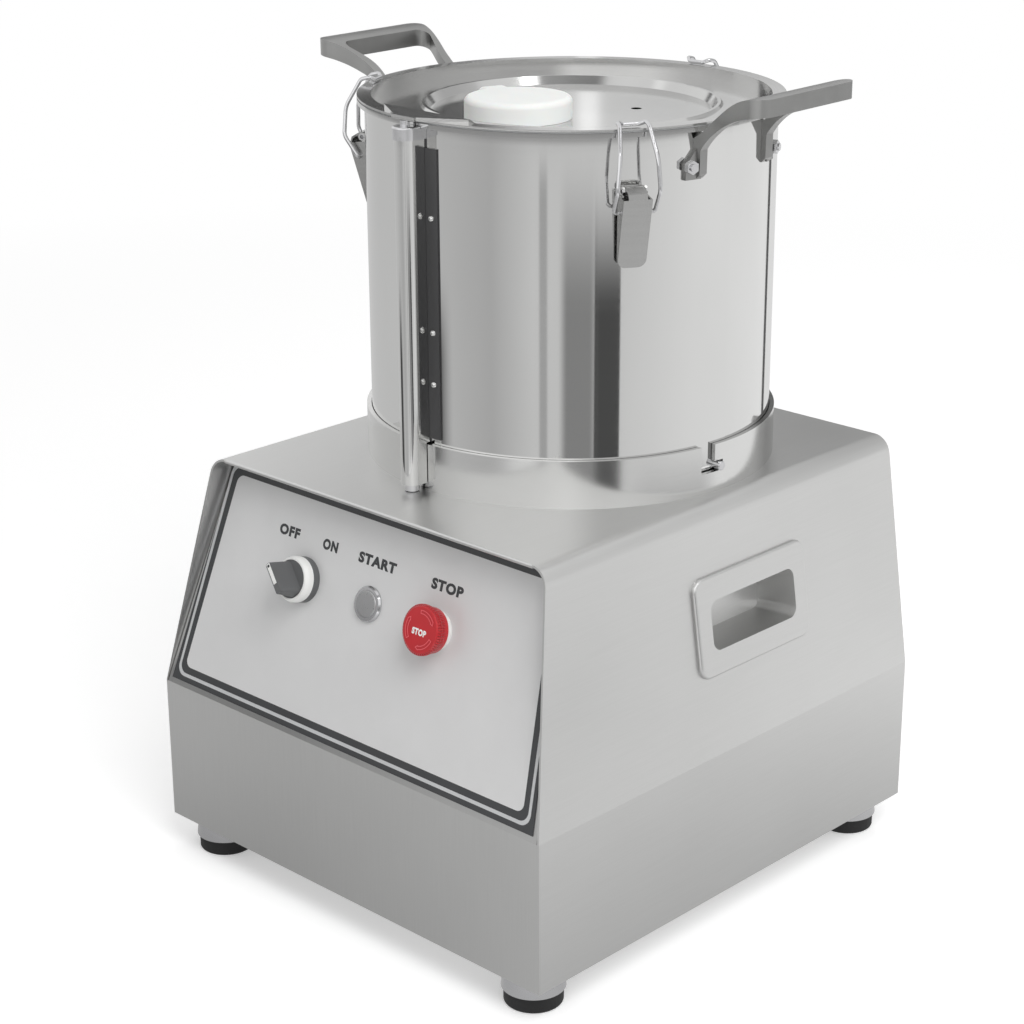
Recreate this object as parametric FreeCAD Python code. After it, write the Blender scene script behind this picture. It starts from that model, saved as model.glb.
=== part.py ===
import FreeCAD, Part
import math
import os

# Food cutter mixer: a bench machine with a lidded bowl that locks onto a motor base.
# Millimetres, +Z up, origin on the table under the middle of the housing, front at -Y.

V = FreeCAD.Vector

# Housing: a folded sheet shell, vertical up to the bend and leaning inwards above it
HOUSING_W = 368.0
HOUSING_D = 390.0
FOOT_H = 25.0
BEND_Z = 131.5
TOP_Z = 298.5
WALL_LEAN = 0.15
SHOULDER_R = 13.5
SHEET = 1.5
MATE = 0.04
VISOR_LEAN = 0.199
PANEL_LEAN = 0.325
PANEL_GAP = 0.5
HEM_DEPTH = 9.0
REAR_INSET = 22.0
LOUVRE_ROWS = 7
LOUVRE_COLUMNS = 3
LOUVRE_PITCH_X = 80.0
LOUVRE_PITCH_Z = 14.0
LOUVRE_LOW = 150.0
LOUVRE_W = 60.0
LOUVRE_H = 5.0
VENT_COUNT = 7
VENT_PITCH = 18.0
VENT_W = 8.0
VENT_LENGTH = 70.0

# Cable gland in the rear cover
GLAND_R = 8.0
GLAND_BORE_R = 4.5
GLAND_LENGTH = 30.0
GLAND_X = 110.0
GLAND_Z = 70.0
GLAND_NUT_R = 12.5
GLAND_NUT_H = 6.0
GLAND_DOME_H = 12.0

# Feet
FOOT_INSET_X = 28.6
FOOT_INSET_Y = 25.2
FOOT_CUP_R = 21.5
FOOT_CUP_H = 13.5
FOOT_CUP_WALL = 1.5
RUBBER_R = 19.8
BOLT_R = 4.0
BOLT_HEAD_R = 6.5
BOLT_HEAD_H = 4.0
BOLT_WELL = 6.0
NUT_H = 6.0

# Side hand grips, pressed cups let into the leaning walls
GRIP_Y = 27.0
GRIP_Z = 220.0
GRIP_FRAME_W = 117.0
GRIP_FRAME_H = 69.0
GRIP_OPEN_W = 89.0
GRIP_OPEN_H = 35.0
GRIP_DEPTH = 27.0
GRIP_RAISE = 3.2
GRIP_FRAME_R = 9.0
GRIP_CUT_MARGIN = 4.0

# Front controls, measured along the leaning panel from the bend
CONTROL_V = 105.0
CONTROL_PITCH = 65.0
CONTROL_X = -1.0
CONTROL_HOLE_R = 11.2
OVERLAY_T = 0.6
OVERLAY_INSET_LOW = 4.0
OVERLAY_INSET_TOP = 1.0
SELECTOR_R = 15.8
SELECTOR_COLLAR_H = 6.3
SELECTOR_BEZEL_H = 7.0
SELECTOR_KNOB_R = 13.0
SELECTOR_FIN_H = 16.0
SELECTOR_REST = 45.0
START_RING_R = 12.3
START_RING_H = 3.0
START_CAP_R = 9.0
ESTOP_COLLAR_R = 13.0
ESTOP_COLLAR_H = 5.0
ESTOP_HEAD_R = 16.8
ESTOP_FRONT = 17.2

# Bowl, its seat ring and the bayonet
BOWL_Y = 32.9
BOWL_R = 139.5
BOWL_WALL = 1.5
BOWL_CORNER_R = 14.0
RIM_Z = 547.5
RIM_OUT = 5.0
RING_GAP = 0.4
RING_T = 3.1
RING_H = 32.8
LEDGE_H = 3.8
LEDGE_W = 14.0
PIN_R = 3.2
PIN_AZ = -3.6
PIN_RISE = 17.5
PIN_STAND = 6.5
SLOT_TURN = 4.0
SLOT_ENTRY_W = 12.0
SLOT_CLEAR = 0.45
CHIMNEY_R = 25.5
CHIMNEY_BELOW_SHAFT = 19.0

# Lid
LID_T = 1.2
GASKET_T = 1.0
GASKET_GAP = 0.1
RECESS_INSET = 3.3
RECESS_DEPTH = 8.2
BEAD_INSET = 33.8
BEAD_W = 6.0
BEAD_H = 1.8
CENTRE_DROP = 4.0
TONGUE_T = 2.5
TONGUE_OVER_COLUMN = 2.0
TONGUE_W = 21.6
TONGUE_ROOT_W = 80.0
FEED_R = 31.0
FEED_FROM_BEAD = 54.1
FEED_AZ = -93.9
CAP_R = 36.0
CAP_T = 14.6
CAP_CROWN_R = 4.0
CAP_PLUG_H = 9.0
CAP_TAB_W = 21.0
CAP_TAB_REACH = 7.5
CAP_FIT = 0.4
CAP_TAB_AZ = 160.0
OIL_HOLE_R = 3.6
OIL_HOLE_OFFSET = 44.0
OIL_HOLE_AZ = 41.0

# Interlock column on the bowl wall, its rod and the safety plunger below it
COLUMN_AZ = -92.0
COLUMN_OUT = 10.5
COLUMN_NOSE_R = 7.5
COLUMN_WALL = 1.1
COLUMN_RISE = 6.0
COLUMN_BELOW_RIM = 12.5
COLUMN_FLANGE = 10.0
CAP_BLOCK_H = 8.5
ROD_R = 3.0
ROD_FOOT_R = 4.8
ROD_BELOW_LID = 0.3
ROD_FIT = 0.1
SPRING_RISE = 97.5
RIVET_RISES = (68.5, 103.5)
RIVET_DROP = 51.0
RIVET_R = 2.2
SPRING_LENGTH = 38.0
SPRING_WIRE_R = 0.6
SPRING_TURNS = 8
PLUNGER_R = 5.0

# Toggle latches
LATCH_AZ = (-32.1, -153.3, 92.4)
LATCH_NAMES = ("front", "left", "rear")
PIVOT_OUT = 9.0
PIVOT_DROP = 38.0
LATCH_PIN_R = 1.9
LATCH_PIN_WALL = 0.5
LEVER_W = 18.8
LEVER_LENGTH = 50.0
LEVER_STAND = 9.5
LEVER_TIP_OUT = 5.0
LEVER_CORNER_R = 5.5
LEVER_T = 1.2
KNUCKLE_R = 3.0
KNUCKLE_W = 12.4
BAIL_WIRE_R = 1.4
BAIL_OUT = 10.0
BAIL_DROP = 51.3
BAIL_FOOT_HALF = 13.4
BAIL_TOP_HALF = 9.2
BAIL_OVER_LID = 0.5
BAIL_BOW = 9.8
BRACKET_W = 16.0
EAR_NOSE_R = 2.9
EAR_T = 1.5
PIN_FIT = 0.08

# Handles, two castings bolted to the bowl wall
HANDLE_AZ = (2.0, 182.0)
HANDLE_LEG_HALF = 35.0
HANDLE_GRIP_HALF = 54.0
HANDLE_OUT = 56.5
HANDLE_GRIP_W = 17.0
HANDLE_ARM_T = 7.5
HANDLE_GRIP_H = 11.0
HANDLE_OVER_RIM = 21.5
HANDLE_LEG_DROP = 36.0
HANDLE_LEG_H = 19.5
HANDLE_LEG_T = 4.5
LUG_T = 3.0
LUG_REACH = 46.5
HANDLE_BOLT_R = 2.5
HANDLE_NUT_R = 4.6
HANDLE_NUT_H = 4.0
HANDLE_BOLT_T = 42.8
HANDLE_BOLT_RISE = 8.5
HANDLE_BEND_R = 25.0
HANDLE_CORNER_R = 9.0

# Motor, shaft and blades
SHAFT_R = 12.5
SHAFT_BELOW_RIM = 103.5
SHAFT_TAIL = 52.0
MOTOR_R = 86.0
MOTOR_WALL = 2.5
RIB_H = 5.0
RIB_COUNT = 24
MOTOR_LOW = 104.0
MOTOR_BELOW_TOP = 36.5
FLANGE_OUT = 16.0
FLANGE_T = 12.0
MOTOR_BOLT_AZ = (45.0, 135.0, 225.0, 315.0)
MOTOR_BOLT_INSET = 12.0
BELL_SKIRT = 6.0
CORE_RISE = 28.0
CORE_BELOW_BELL = 26.0
ROTOR_R = 49.6
AIR_GAP = 0.5
WINDING_H = 17.0
WINDING_ROUND = 4.0
BEARING_R = 26.0
BEARING_H = 15.0
FAN_INSET = 12.0
FAN_H = 16.0
FAN_VANES = 12
COWL_T = 1.2
COWL_INTAKE_R = 40.0
BOSS_R = 21.0
BOSS_RISE = 23.5
HUB_R = 34.0
HUB_FLANGE = 4.5
HUB_BORE = 27.0
HUB_OVER_SHAFT = 1.0
BLADE_GAP = 7.5
BLADE_T = 3.0
BLADE_LOW_RISE = 12.5
BLADE_HIGH_RISE = 45.5
NUT_R = 19.0
NUT_KNOB_H = 24.0
NUT_GROOVE_R = 2.5
THREAD_STEP = 4.0
THREAD_H = 18.0

# Electrical parts on the base plate
CAPACITOR_R = 24.0
CAPACITOR_H = 105.0
CAPACITOR_FROM_WALL = 59.0
CAPACITOR_Y = -80.0
CONTACTOR_W = 55.0
CONTACTOR_D = 70.0
CONTACTOR_H = 62.0
CONTACTOR_FROM_WALL = 61.5
CONTACTOR_Y = -95.0
TERMINAL_W = 60.0
TERMINAL_D = 18.0
TERMINAL_H = 22.0
TERMINAL_FROM_REAR = 36.0
TERMINAL_SLOTS = 5

# Worked out from the values above
HALF_W = HOUSING_W / 2
HALF_D = HOUSING_D / 2
LEAN_ANGLE = math.degrees(math.atan(WALL_LEAN))
PANEL_LENGTH = math.hypot(1.0, PANEL_LEAN)
BOWL_FLOOR = TOP_Z + LEDGE_H + 0.1
PIN_Z = TOP_Z + PIN_RISE
RING_R = BOWL_R + RING_GAP
RIM_R = BOWL_R + RIM_OUT
RIM_TOP = RIM_Z - LID_T - GASKET_T - GASKET_GAP
RECESS_R = BOWL_R - RECESS_INSET
BEAD_R = RECESS_R - BEAD_INSET
FEED_OFFSET = BEAD_R - FEED_FROM_BEAD
COLUMN_R = BOWL_R + COLUMN_OUT
COLUMN_LOW = TOP_Z + COLUMN_RISE
COLUMN_TOP = RIM_Z - COLUMN_BELOW_RIM
TONGUE_REACH = COLUMN_R + TONGUE_OVER_COLUMN
ROD_TOP = RIM_Z - ROD_BELOW_LID
SPRING_LOW = COLUMN_LOW + SPRING_RISE
PIVOT_R = BOWL_R + PIVOT_OUT
PIVOT_Z = RIM_Z - PIVOT_DROP
BAIL_R = BOWL_R + BAIL_OUT
BAIL_Z = RIM_Z - BAIL_DROP
HANDLE_REACH = BOWL_R + HANDLE_OUT
HANDLE_TOP_Z = RIM_Z + HANDLE_OVER_RIM
HANDLE_LEG_LOW = RIM_Z - HANDLE_LEG_DROP
SHAFT_TOP = RIM_Z - SHAFT_BELOW_RIM
CHIMNEY_TOP = SHAFT_TOP - CHIMNEY_BELOW_SHAFT
HUB_TOP = SHAFT_TOP + HUB_OVER_SHAFT
BOSS_TOP = TOP_Z + BOSS_RISE
BLADE_REACH = BOWL_R - BLADE_GAP
BLADE_LOW_Z = TOP_Z + BLADE_LOW_RISE
BLADE_HIGH_Z = TOP_Z + BLADE_HIGH_RISE
ANNULUS_Z = RIM_Z - RECESS_DEPTH
CENTRE_Z = ANNULUS_Z - CENTRE_DROP
REAR_Y = HALF_D - REAR_INSET
MOTOR_HIGH = TOP_Z - MOTOR_BELOW_TOP
FLANGE_R = MOTOR_R + FLANGE_OUT
CORE_LOW = MOTOR_LOW + CORE_RISE
CORE_HIGH = MOTOR_HIGH - CORE_BELOW_BELL
SHAFT_LOW = MOTOR_LOW - SHAFT_TAIL
FAN_R = MOTOR_R - FAN_INSET
CAPACITOR_X = CAPACITOR_FROM_WALL - HALF_W
CONTACTOR_X = HALF_W - CONTACTOR_FROM_WALL
TERMINAL_Y = REAR_Y - TERMINAL_FROM_REAR


def box(x0, x1, y0, y1, z0, z1):
    return Part.makeBox(x1 - x0, y1 - y0, z1 - z0, V(x0, y0, z0))


def disc(radius, z0, z1, x=0.0, y=0.0):
    return Part.makeCylinder(radius, z1 - z0, V(x, y, z0))


def tube(outer, inner, z0, z1, x=0.0, y=0.0):
    return disc(outer, z0, z1, x, y).cut(disc(inner, z0 - 1, z1 + 1, x, y))


def cross_rod(radius, length, r, z):
    """A round bar of that length along Y, centred at radius r and height z."""
    return Part.makeCylinder(radius, length, V(r, -length / 2, z), V(0, 1, 0))


def solid_from(points):
    """A planar face through the points, in order."""
    return Part.Face(Part.makePolygon(list(points) + [points[0]]))


def profile_xz(points, y0, y1):
    """A closed outline in X and Z, drawn out from y0 to y1."""
    return solid_from([V(x, y0, z) for x, z in points]).extrude(V(0, y1 - y0, 0))


def profile_xy(points, z0, z1):
    """A closed outline in X and Y, drawn up from z0 to z1."""
    return solid_from([V(x, y, z0) for x, y in points]).extrude(V(0, 0, z1 - z0))


def spun(points):
    """A closed outline of radius and height, turned full circle about Z."""
    return solid_from([V(r, 0, z) for r, z in points]).revolve(V(0, 0, 0), V(0, 0, 1), 360)


def rounded_plate(width, height, radius, z0, z1):
    """A rectangle with round corners, centred on the origin."""
    plate = box(-width / 2, width / 2, -height / 2, height / 2, z0, z1)
    uprights = [e for e in plate.Edges if abs(e.tangentAt(e.FirstParameter).z) > 0.99]
    return plate.makeFillet(radius, uprights)


def fuse_all(shapes):
    whole = shapes[0].multiFuse(shapes[1:])
    return whole.removeSplitter()


def group(shapes):
    return Part.makeCompound(shapes)


def on_bowl(shape, azimuth=0.0):
    """Moves a shape built about Z, facing +X, to that azimuth about the bowl's axis."""
    moved = shape.copy()
    moved.rotate(V(0, 0, 0), V(0, 0, 1), azimuth)
    moved.translate(V(0, BOWL_Y, 0))
    return moved


def in_frame(shape, origin, x_axis, z_axis):
    """Moves a shape from its own axes to the given origin, X and Z directions."""
    z = V(z_axis).normalize()
    x = V(x_axis).normalize()
    y = z.cross(x)
    matrix = FreeCAD.Matrix(
        x.x, y.x, z.x, origin.x, x.y, y.y, z.y, origin.y, x.z, y.z, z.z, origin.z, 0, 0, 0, 1
    )
    moved = shape.copy()
    moved.Placement = FreeCAD.Placement(matrix).multiply(moved.Placement)
    return moved


def panel_point(x, v, lift=0.0):
    """A point v up the leaning panel from the bend, lifted off its face."""
    z = BEND_Z + v / PANEL_LENGTH
    y = -HALF_D + PANEL_LEAN * (z - BEND_Z)
    return V(x, y - lift / PANEL_LENGTH, z + lift * PANEL_LEAN / PANEL_LENGTH)


def on_panel(shape, x):
    """Moves a control built about Z to its place on the leaning panel."""
    return in_frame(shape, panel_point(x, CONTROL_V), V(1, 0, 0), V(0, -1, PANEL_LEAN))


def half_width(z, inset=0.0):
    """Half the housing's width at a height, measured inside a skin of that thickness."""
    lean = max(0.0, z - BEND_Z) * WALL_LEAN
    return HALF_W - lean - inset * math.hypot(1.0, WALL_LEAN if z > BEND_Z else 0.0)


def shell_prism(inset, y0, y1, low):
    """The housing's cross-section, a set distance inside its skin, drawn out along Y."""
    top = TOP_Z - inset
    radius = SHOULDER_R - inset
    angle = math.radians(LEAN_ANGLE)
    edge = half_width(top, inset)
    bend_x = HALF_W - inset
    bend_z = BEND_Z - inset * math.tan(angle / 2)
    reach = radius * math.tan((math.pi / 2 - angle) / 2)
    low_x, low_z = edge + reach * math.sin(angle), top - reach * math.cos(angle)
    high_x = edge - reach
    middle = (math.pi / 2 + angle) / 2
    arc_x = high_x + radius * math.cos(middle)
    arc_z = top - radius + radius * math.sin(middle)
    edges = [
        Part.makeLine(V(bend_x, y0, low), V(bend_x, y0, bend_z)),
        Part.makeLine(V(bend_x, y0, bend_z), V(low_x, y0, low_z)),
        Part.Arc(V(low_x, y0, low_z), V(arc_x, y0, arc_z), V(high_x, y0, top)).toShape(),
        Part.makeLine(V(high_x, y0, top), V(-high_x, y0, top)),
        Part.Arc(V(-high_x, y0, top), V(-arc_x, y0, arc_z), V(-low_x, y0, low_z)).toShape(),
        Part.makeLine(V(-low_x, y0, low_z), V(-bend_x, y0, bend_z)),
        Part.makeLine(V(-bend_x, y0, bend_z), V(-bend_x, y0, low)),
        Part.makeLine(V(-bend_x, y0, low), V(bend_x, y0, low)),
    ]
    return Part.Face(Part.Wire(edges)).extrude(V(0, y1 - y0, 0))


def shoulder_half():
    """Half the flat width of the housing's top, between its round shoulders."""
    angle = math.radians(LEAN_ANGLE)
    return half_width(TOP_Z) - SHOULDER_R * math.tan((math.pi / 2 - angle) / 2)


def visor_y(z):
    """Front edge of the housing's walls and top, which lean back above the bend."""
    return -HALF_D + VISOR_LEAN * max(0.0, z - BEND_Z)


def grip_frame(shape, side):
    """Puts a shape built in the hand grip's own axes onto the right or left wall."""
    origin = V(half_width(GRIP_Z), GRIP_Y, GRIP_Z)
    moved = in_frame(shape, origin, V(0, 1, 0), V(1, 0, WALL_LEAN))
    return moved if side > 0 else moved.mirror(V(0, 0, 0), V(1, 0, 0))


def housing_shell():
    """Top and both side walls in one folded sheet, with a hemmed front edge."""
    skin = shell_prism(0, -HALF_D, HALF_D, FOOT_H).cut(
        shell_prism(SHEET, -HALF_D - 1, HALF_D + 1, FOOT_H - 1)
    )
    far = HALF_W + 10
    front = [(-HALF_D - 20, FOOT_H - 5), (-HALF_D + SHEET, FOOT_H - 5)]
    front += [(-HALF_D + SHEET, BEND_Z), (-HALF_D, BEND_Z)]
    front += [(visor_y(TOP_Z + 20), TOP_Z + 20), (-HALF_D - 20, TOP_Z + 20)]
    cutter = solid_from([V(-far, y, z) for y, z in front]).extrude(V(2 * far, 0, 0))
    skin = skin.cut(cutter)
    nose_y = visor_y(TOP_Z) + SHEET
    half = shoulder_half()
    hem = box(-half, half, nose_y, nose_y + HEM_DEPTH, TOP_Z - 2 * SHEET, TOP_Z)
    nose = Part.makeCylinder(SHEET, 2 * half, V(-half, nose_y, TOP_Z - SHEET), V(1, 0, 0))
    square_edge = box(-half, half, nose_y - 3, nose_y, TOP_Z - 3 * SHEET, TOP_Z + 1)
    skin = fuse_all([skin.cut(square_edge), hem, nose])
    openings = [disc(BOSS_R + 2, TOP_Z - 5, TOP_Z + 5, 0, BOWL_Y)]
    openings += [on_bowl(disc(PLUNGER_R + 0.2, TOP_Z - 5, TOP_Z + 5, COLUMN_R), COLUMN_AZ)]
    bolt_hole = disc(BOLT_R + 0.2, TOP_Z - 5, TOP_Z + 5, FLANGE_R - MOTOR_BOLT_INSET)
    openings += [on_bowl(bolt_hole, azimuth) for azimuth in MOTOR_BOLT_AZ]
    grip_hole = rounded_plate(
        GRIP_OPEN_W + 2 * GRIP_CUT_MARGIN, GRIP_OPEN_H + 2 * GRIP_CUT_MARGIN, GRIP_FRAME_R, -8, 8
    )
    openings += [grip_frame(grip_hole, side) for side in (1, -1)]
    return skin.cut(group(openings))


def panel_outline(inset_low, inset_top, v_low, v_high, lift):
    """The four corners of a trapezium on the leaning panel."""
    low = panel_point(0, v_low).z
    high = panel_point(0, v_high).z
    half_low = half_width(low, SHEET) - inset_low
    half_high = half_width(high, SHEET) - inset_top
    return [
        panel_point(-half_low, v_low, lift),
        panel_point(half_low, v_low, lift),
        panel_point(half_high, v_high, lift),
        panel_point(-half_high, v_high, lift),
    ]


def control_positions():
    return [CONTROL_X + step * CONTROL_PITCH for step in (-1, 0, 1)]


def panel_normal():
    return V(0, -1, PANEL_LEAN).normalize()


def front_panel():
    """Vertical apron below the bend and the leaning, recessed panel above it, one sheet."""
    top_v = (TOP_Z - 2 * SHEET - PANEL_GAP - BEND_Z) * PANEL_LENGTH
    apron = box(-HALF_W, HALF_W, -HALF_D, -HALF_D + SHEET, FOOT_H, BEND_Z)
    outline = panel_outline(PANEL_GAP, PANEL_GAP, 0, top_v, 0)
    leaning = solid_from(outline).extrude(panel_normal() * -SHEET)
    leaning = leaning.common(shell_prism(SHEET + PANEL_GAP, -HALF_D, HALF_D, FOOT_H))
    sheet = fuse_all([apron, leaning])
    holes = [on_panel(disc(CONTROL_HOLE_R, -8, 8), x) for x in control_positions()]
    return sheet.cut(group(holes))


def panel_overlay():
    """The printed plastic sheet stuck on the leaning panel."""
    top_v = (TOP_Z - 2 * SHEET - PANEL_GAP - BEND_Z) * PANEL_LENGTH - 2
    outline = panel_outline(OVERLAY_INSET_LOW, OVERLAY_INSET_TOP, 4.0, top_v, 0)
    sheet = solid_from(outline).extrude(panel_normal() * OVERLAY_T)
    sheet = sheet.common(shell_prism(SHEET + PANEL_GAP + 0.5, -HALF_D, HALF_D, FOOT_H))
    holes = [on_panel(disc(CONTROL_HOLE_R, -8, 8), x) for x in control_positions()]
    return sheet.cut(group(holes))


def rear_cover():
    """Set-in rear sheet with louvre slots and the hole for the cable gland."""
    sheet = shell_prism(SHEET + 0.2, REAR_Y, REAR_Y + SHEET, FOOT_H + SHEET + 0.2)
    slots = []
    for row in range(LOUVRE_ROWS):
        for column in range(LOUVRE_COLUMNS):
            x = (column - (LOUVRE_COLUMNS - 1) / 2) * LOUVRE_PITCH_X
            z = LOUVRE_LOW + row * LOUVRE_PITCH_Z
            slots.append(box(x - LOUVRE_W / 2, x + LOUVRE_W / 2, REAR_Y - 2, REAR_Y + 4, z, z + LOUVRE_H))
    gland = Part.makeCylinder(GLAND_R + 0.1, 10, V(GLAND_X, REAR_Y - 5, GLAND_Z), V(0, 1, 0))
    nut_high = FOOT_H + SHEET + NUT_H + 3
    notches = [disc(BOLT_HEAD_R + 0.6, FOOT_H, nut_high, x, y) for x, y in foot_places() if y > 0]
    return sheet.cut(group(slots + [gland] + notches))


def cable_gland():
    """Threaded body with its nuts on both faces of the rear sheet, and an open throat."""
    out = REAR_Y + SHEET + GLAND_NUT_H
    low = out + GLAND_DOME_H - GLAND_LENGTH
    body = Part.makeCylinder(GLAND_R, GLAND_LENGTH, V(GLAND_X, low, GLAND_Z), V(0, 1, 0))
    inner_nut = hex_bar(GLAND_NUT_R, GLAND_NUT_H, V(GLAND_X, REAR_Y - GLAND_NUT_H, GLAND_Z))
    outer_nut = hex_bar(GLAND_NUT_R, GLAND_NUT_H, V(GLAND_X, REAR_Y + SHEET, GLAND_Z))
    dome = Part.makeCone(GLAND_NUT_R - 1, GLAND_R + 0.5, GLAND_DOME_H, V(GLAND_X, out, GLAND_Z), V(0, 1, 0))
    throat = Part.makeCylinder(GLAND_BORE_R, 2 * GLAND_LENGTH, V(GLAND_X, low - 10, GLAND_Z), V(0, 1, 0))
    return fuse_all([body, inner_nut, outer_nut, dome]).cut(throat)


def hex_bar(across_corners, length, start):
    """A hexagonal nut along Y from the start point."""
    corners = []
    for k in range(6):
        angle = math.radians(60 * k)
        dx, dz = across_corners * math.cos(angle), across_corners * math.sin(angle)
        corners.append(V(start.x + dx, start.y, start.z + dz))
    return solid_from(corners).extrude(V(0, length, 0))


def foot_places():
    x = HALF_W - FOOT_INSET_X
    y = HALF_D - FOOT_INSET_Y
    return [(sx * x, sy * y) for sx in (-1, 1) for sy in (-1, 1)]


def base_plate():
    """Bottom sheet that closes the housing and carries the electrical parts and the feet."""
    edge = HALF_W - SHEET - 0.2
    plate = box(-edge, edge, -HALF_D + SHEET + 0.2, HALF_D, FOOT_H, FOOT_H + SHEET)
    rear_lip = box(-edge, edge, HALF_D - SHEET, HALF_D, FOOT_H, FOOT_H + 12)
    vents = []
    for k in range(VENT_COUNT):
        x = (k - (VENT_COUNT - 1) / 2) * VENT_PITCH
        y = BOWL_Y - VENT_LENGTH / 2
        vents.append(box(x - VENT_W / 2, x + VENT_W / 2, y, y + VENT_LENGTH, FOOT_H - 2, FOOT_H + 4))
    holes = [disc(BOLT_R + 0.1, FOOT_H - 3, FOOT_H + 5, x, y) for x, y in foot_places()]
    return fuse_all([plate, rear_lip]).cut(group(vents + holes))


def foot_cup():
    """Steel cup under the housing that holds the rubber foot."""
    low = FOOT_H - FOOT_CUP_H
    cup = Part.makeCone(FOOT_CUP_R, FOOT_CUP_R - 1.5, FOOT_CUP_H, V(0, 0, low))
    hollow = disc(RUBBER_R + 0.2, low - 1, FOOT_H - FOOT_CUP_WALL)
    return cup.cut(hollow).cut(disc(BOLT_R + 0.1, low, FOOT_H + 1))


def rubber_foot():
    """Rubber pad with a well below for the bolt's head."""
    pad = disc(RUBBER_R, 0, FOOT_H - FOOT_CUP_WALL)
    lower = [e for e in pad.Edges if abs(e.CenterOfMass.z) < 0.01]
    pad = pad.makeFillet(2.0, lower)
    well = disc(BOLT_HEAD_R + 0.6, -1, BOLT_WELL + BOLT_HEAD_H)
    return pad.cut(well).cut(disc(BOLT_R + 0.1, 0, FOOT_H))


def foot_bolt():
    """Hexagon bolt from the foot's well up through the base plate, with its nut."""
    seat, plate_top = BOLT_WELL + BOLT_HEAD_H, FOOT_H + SHEET
    head = hex_upright(BOLT_HEAD_R, BOLT_WELL, seat)
    shank = disc(BOLT_R, seat - 0.1, plate_top + NUT_H + 2)
    nut = hex_upright(BOLT_HEAD_R, plate_top, plate_top + NUT_H)
    return fuse_all([head, shank, nut])


def hex_upright(across_corners, z0, z1):
    points = []
    for k in range(6):
        angle = math.radians(60 * k)
        points.append((across_corners * math.cos(angle), across_corners * math.sin(angle)))
    return profile_xy(points, z0, z1)


def motor_bolt():
    """Pan-headed bolt from the housing's top down into the motor's flange."""
    head = disc(BOLT_HEAD_R, TOP_Z, TOP_Z + 3)
    shank = disc(BOLT_R, TOP_Z - SHEET - FLANGE_T + 2, TOP_Z + 0.1)
    bolt = fuse_all([head, shank])
    bolt.translate(V(FLANGE_R - MOTOR_BOLT_INSET, 0, 0))
    return bolt


def frame_bolts():
    """Bolts of the four feet and of the motor's flange."""
    bolts = []
    for x, y in foot_places():
        bolt = foot_bolt()
        bolt.translate(V(x, y, 0))
        bolts.append(bolt)
    bolts += [on_bowl(motor_bolt(), azimuth) for azimuth in MOTOR_BOLT_AZ]
    return group(bolts)


def at_feet(shape):
    copies = []
    for x, y in foot_places():
        piece = shape.copy()
        piece.translate(V(x, y, 0))
        copies.append(piece)
    return group(copies)


def side_grip(side):
    """Pressed frame standing proud of the wall, with a cup behind it for the fingers."""
    frame = rounded_plate(GRIP_FRAME_W, GRIP_FRAME_H, GRIP_FRAME_R, 0, GRIP_RAISE)
    outer = [e for e in frame.Edges if e.CenterOfMass.z > GRIP_RAISE - 0.01]
    frame = frame.makeFillet(GRIP_RAISE * 0.7, outer)
    wide, high = GRIP_OPEN_W + 4, GRIP_OPEN_H + 4
    cup = tapered_block(wide, high, 0.72, GRIP_RAISE, -GRIP_DEPTH)
    hollow = tapered_block(GRIP_OPEN_W, GRIP_OPEN_H, 0.72, GRIP_RAISE + 1, -GRIP_DEPTH + 1.5)
    return grip_frame(fuse_all([frame, cup]).cut(hollow), side)


def tapered_block(width, height, floor_share, z_mouth, z_floor):
    """A block with round corners that narrows in height towards its floor."""
    mouth = rounded_wire(width, height, GRIP_FRAME_R - 2, z_mouth)
    floor = rounded_wire(width - 12, height * floor_share, GRIP_FRAME_R - 3, z_floor)
    return Part.makeLoft([mouth, floor], True)


def rounded_wire(width, height, radius, z):
    """A rectangle with round corners, as a closed line."""
    x, y = width / 2, height / 2
    corner = radius * (1 - math.sqrt(0.5))
    edges = []
    for sx, sy in ((1, 1), (-1, 1), (-1, -1), (1, -1)):
        first = V(sx * x, sy * (y - radius), z)
        last = V(sx * (x - radius), sy * y, z)
        if sx * sy < 0:
            first, last = last, first
        middle = V(sx * (x - corner), sy * (y - corner), z)
        edges.append(Part.Arc(first, middle, last).toShape())
    joined = []
    for k, arc in enumerate(edges):
        following = edges[(k + 1) % 4]
        end, start = arc.valueAt(arc.LastParameter), following.valueAt(following.FirstParameter)
        joined += [arc, Part.makeLine(end, start)]
    return Part.Wire(joined)


def side_grips():
    return group([side_grip(1), side_grip(-1)])


def bowl_seat_ring():
    """Ring on the housing's top with two L-shaped slots and a ledge that the bowl sits on."""
    wall = tube(RING_R + RING_T, RING_R, TOP_Z, TOP_Z + RING_H)
    ledge = tube(RING_R + 0.5, RING_R - LEDGE_W, TOP_Z, TOP_Z + LEDGE_H)
    ring = fuse_all([wall, ledge])
    degree = math.pi * (RING_R + RING_T) / 180
    turn = SLOT_TURN * degree
    reach = PIN_R + SLOT_CLEAR
    leg = box(RING_R - 2, RING_R + RING_T + 2, -turn, reach, PIN_Z - reach, PIN_Z + reach)
    entry = box(
        RING_R - 2, RING_R + RING_T + 2, -turn - SLOT_ENTRY_W / 2, -turn + SLOT_ENTRY_W / 2,
        PIN_Z - reach, TOP_Z + RING_H + 1,
    )
    slots = [on_bowl_axis(leg.fuse(entry), PIN_AZ + half) for half in (0, 180)]
    return on_bowl(ring.cut(group(slots)))


def on_bowl_axis(shape, azimuth):
    """Turns a shape about the Z axis without moving it to the bowl."""
    moved = shape.copy()
    moved.rotate(V(0, 0, 0), V(0, 0, 1), azimuth)
    return moved


def around(shape, count):
    """Equally spaced copies of a shape about the Z axis."""
    return [on_bowl_axis(shape, k * 360.0 / count) for k in range(count)]


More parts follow.
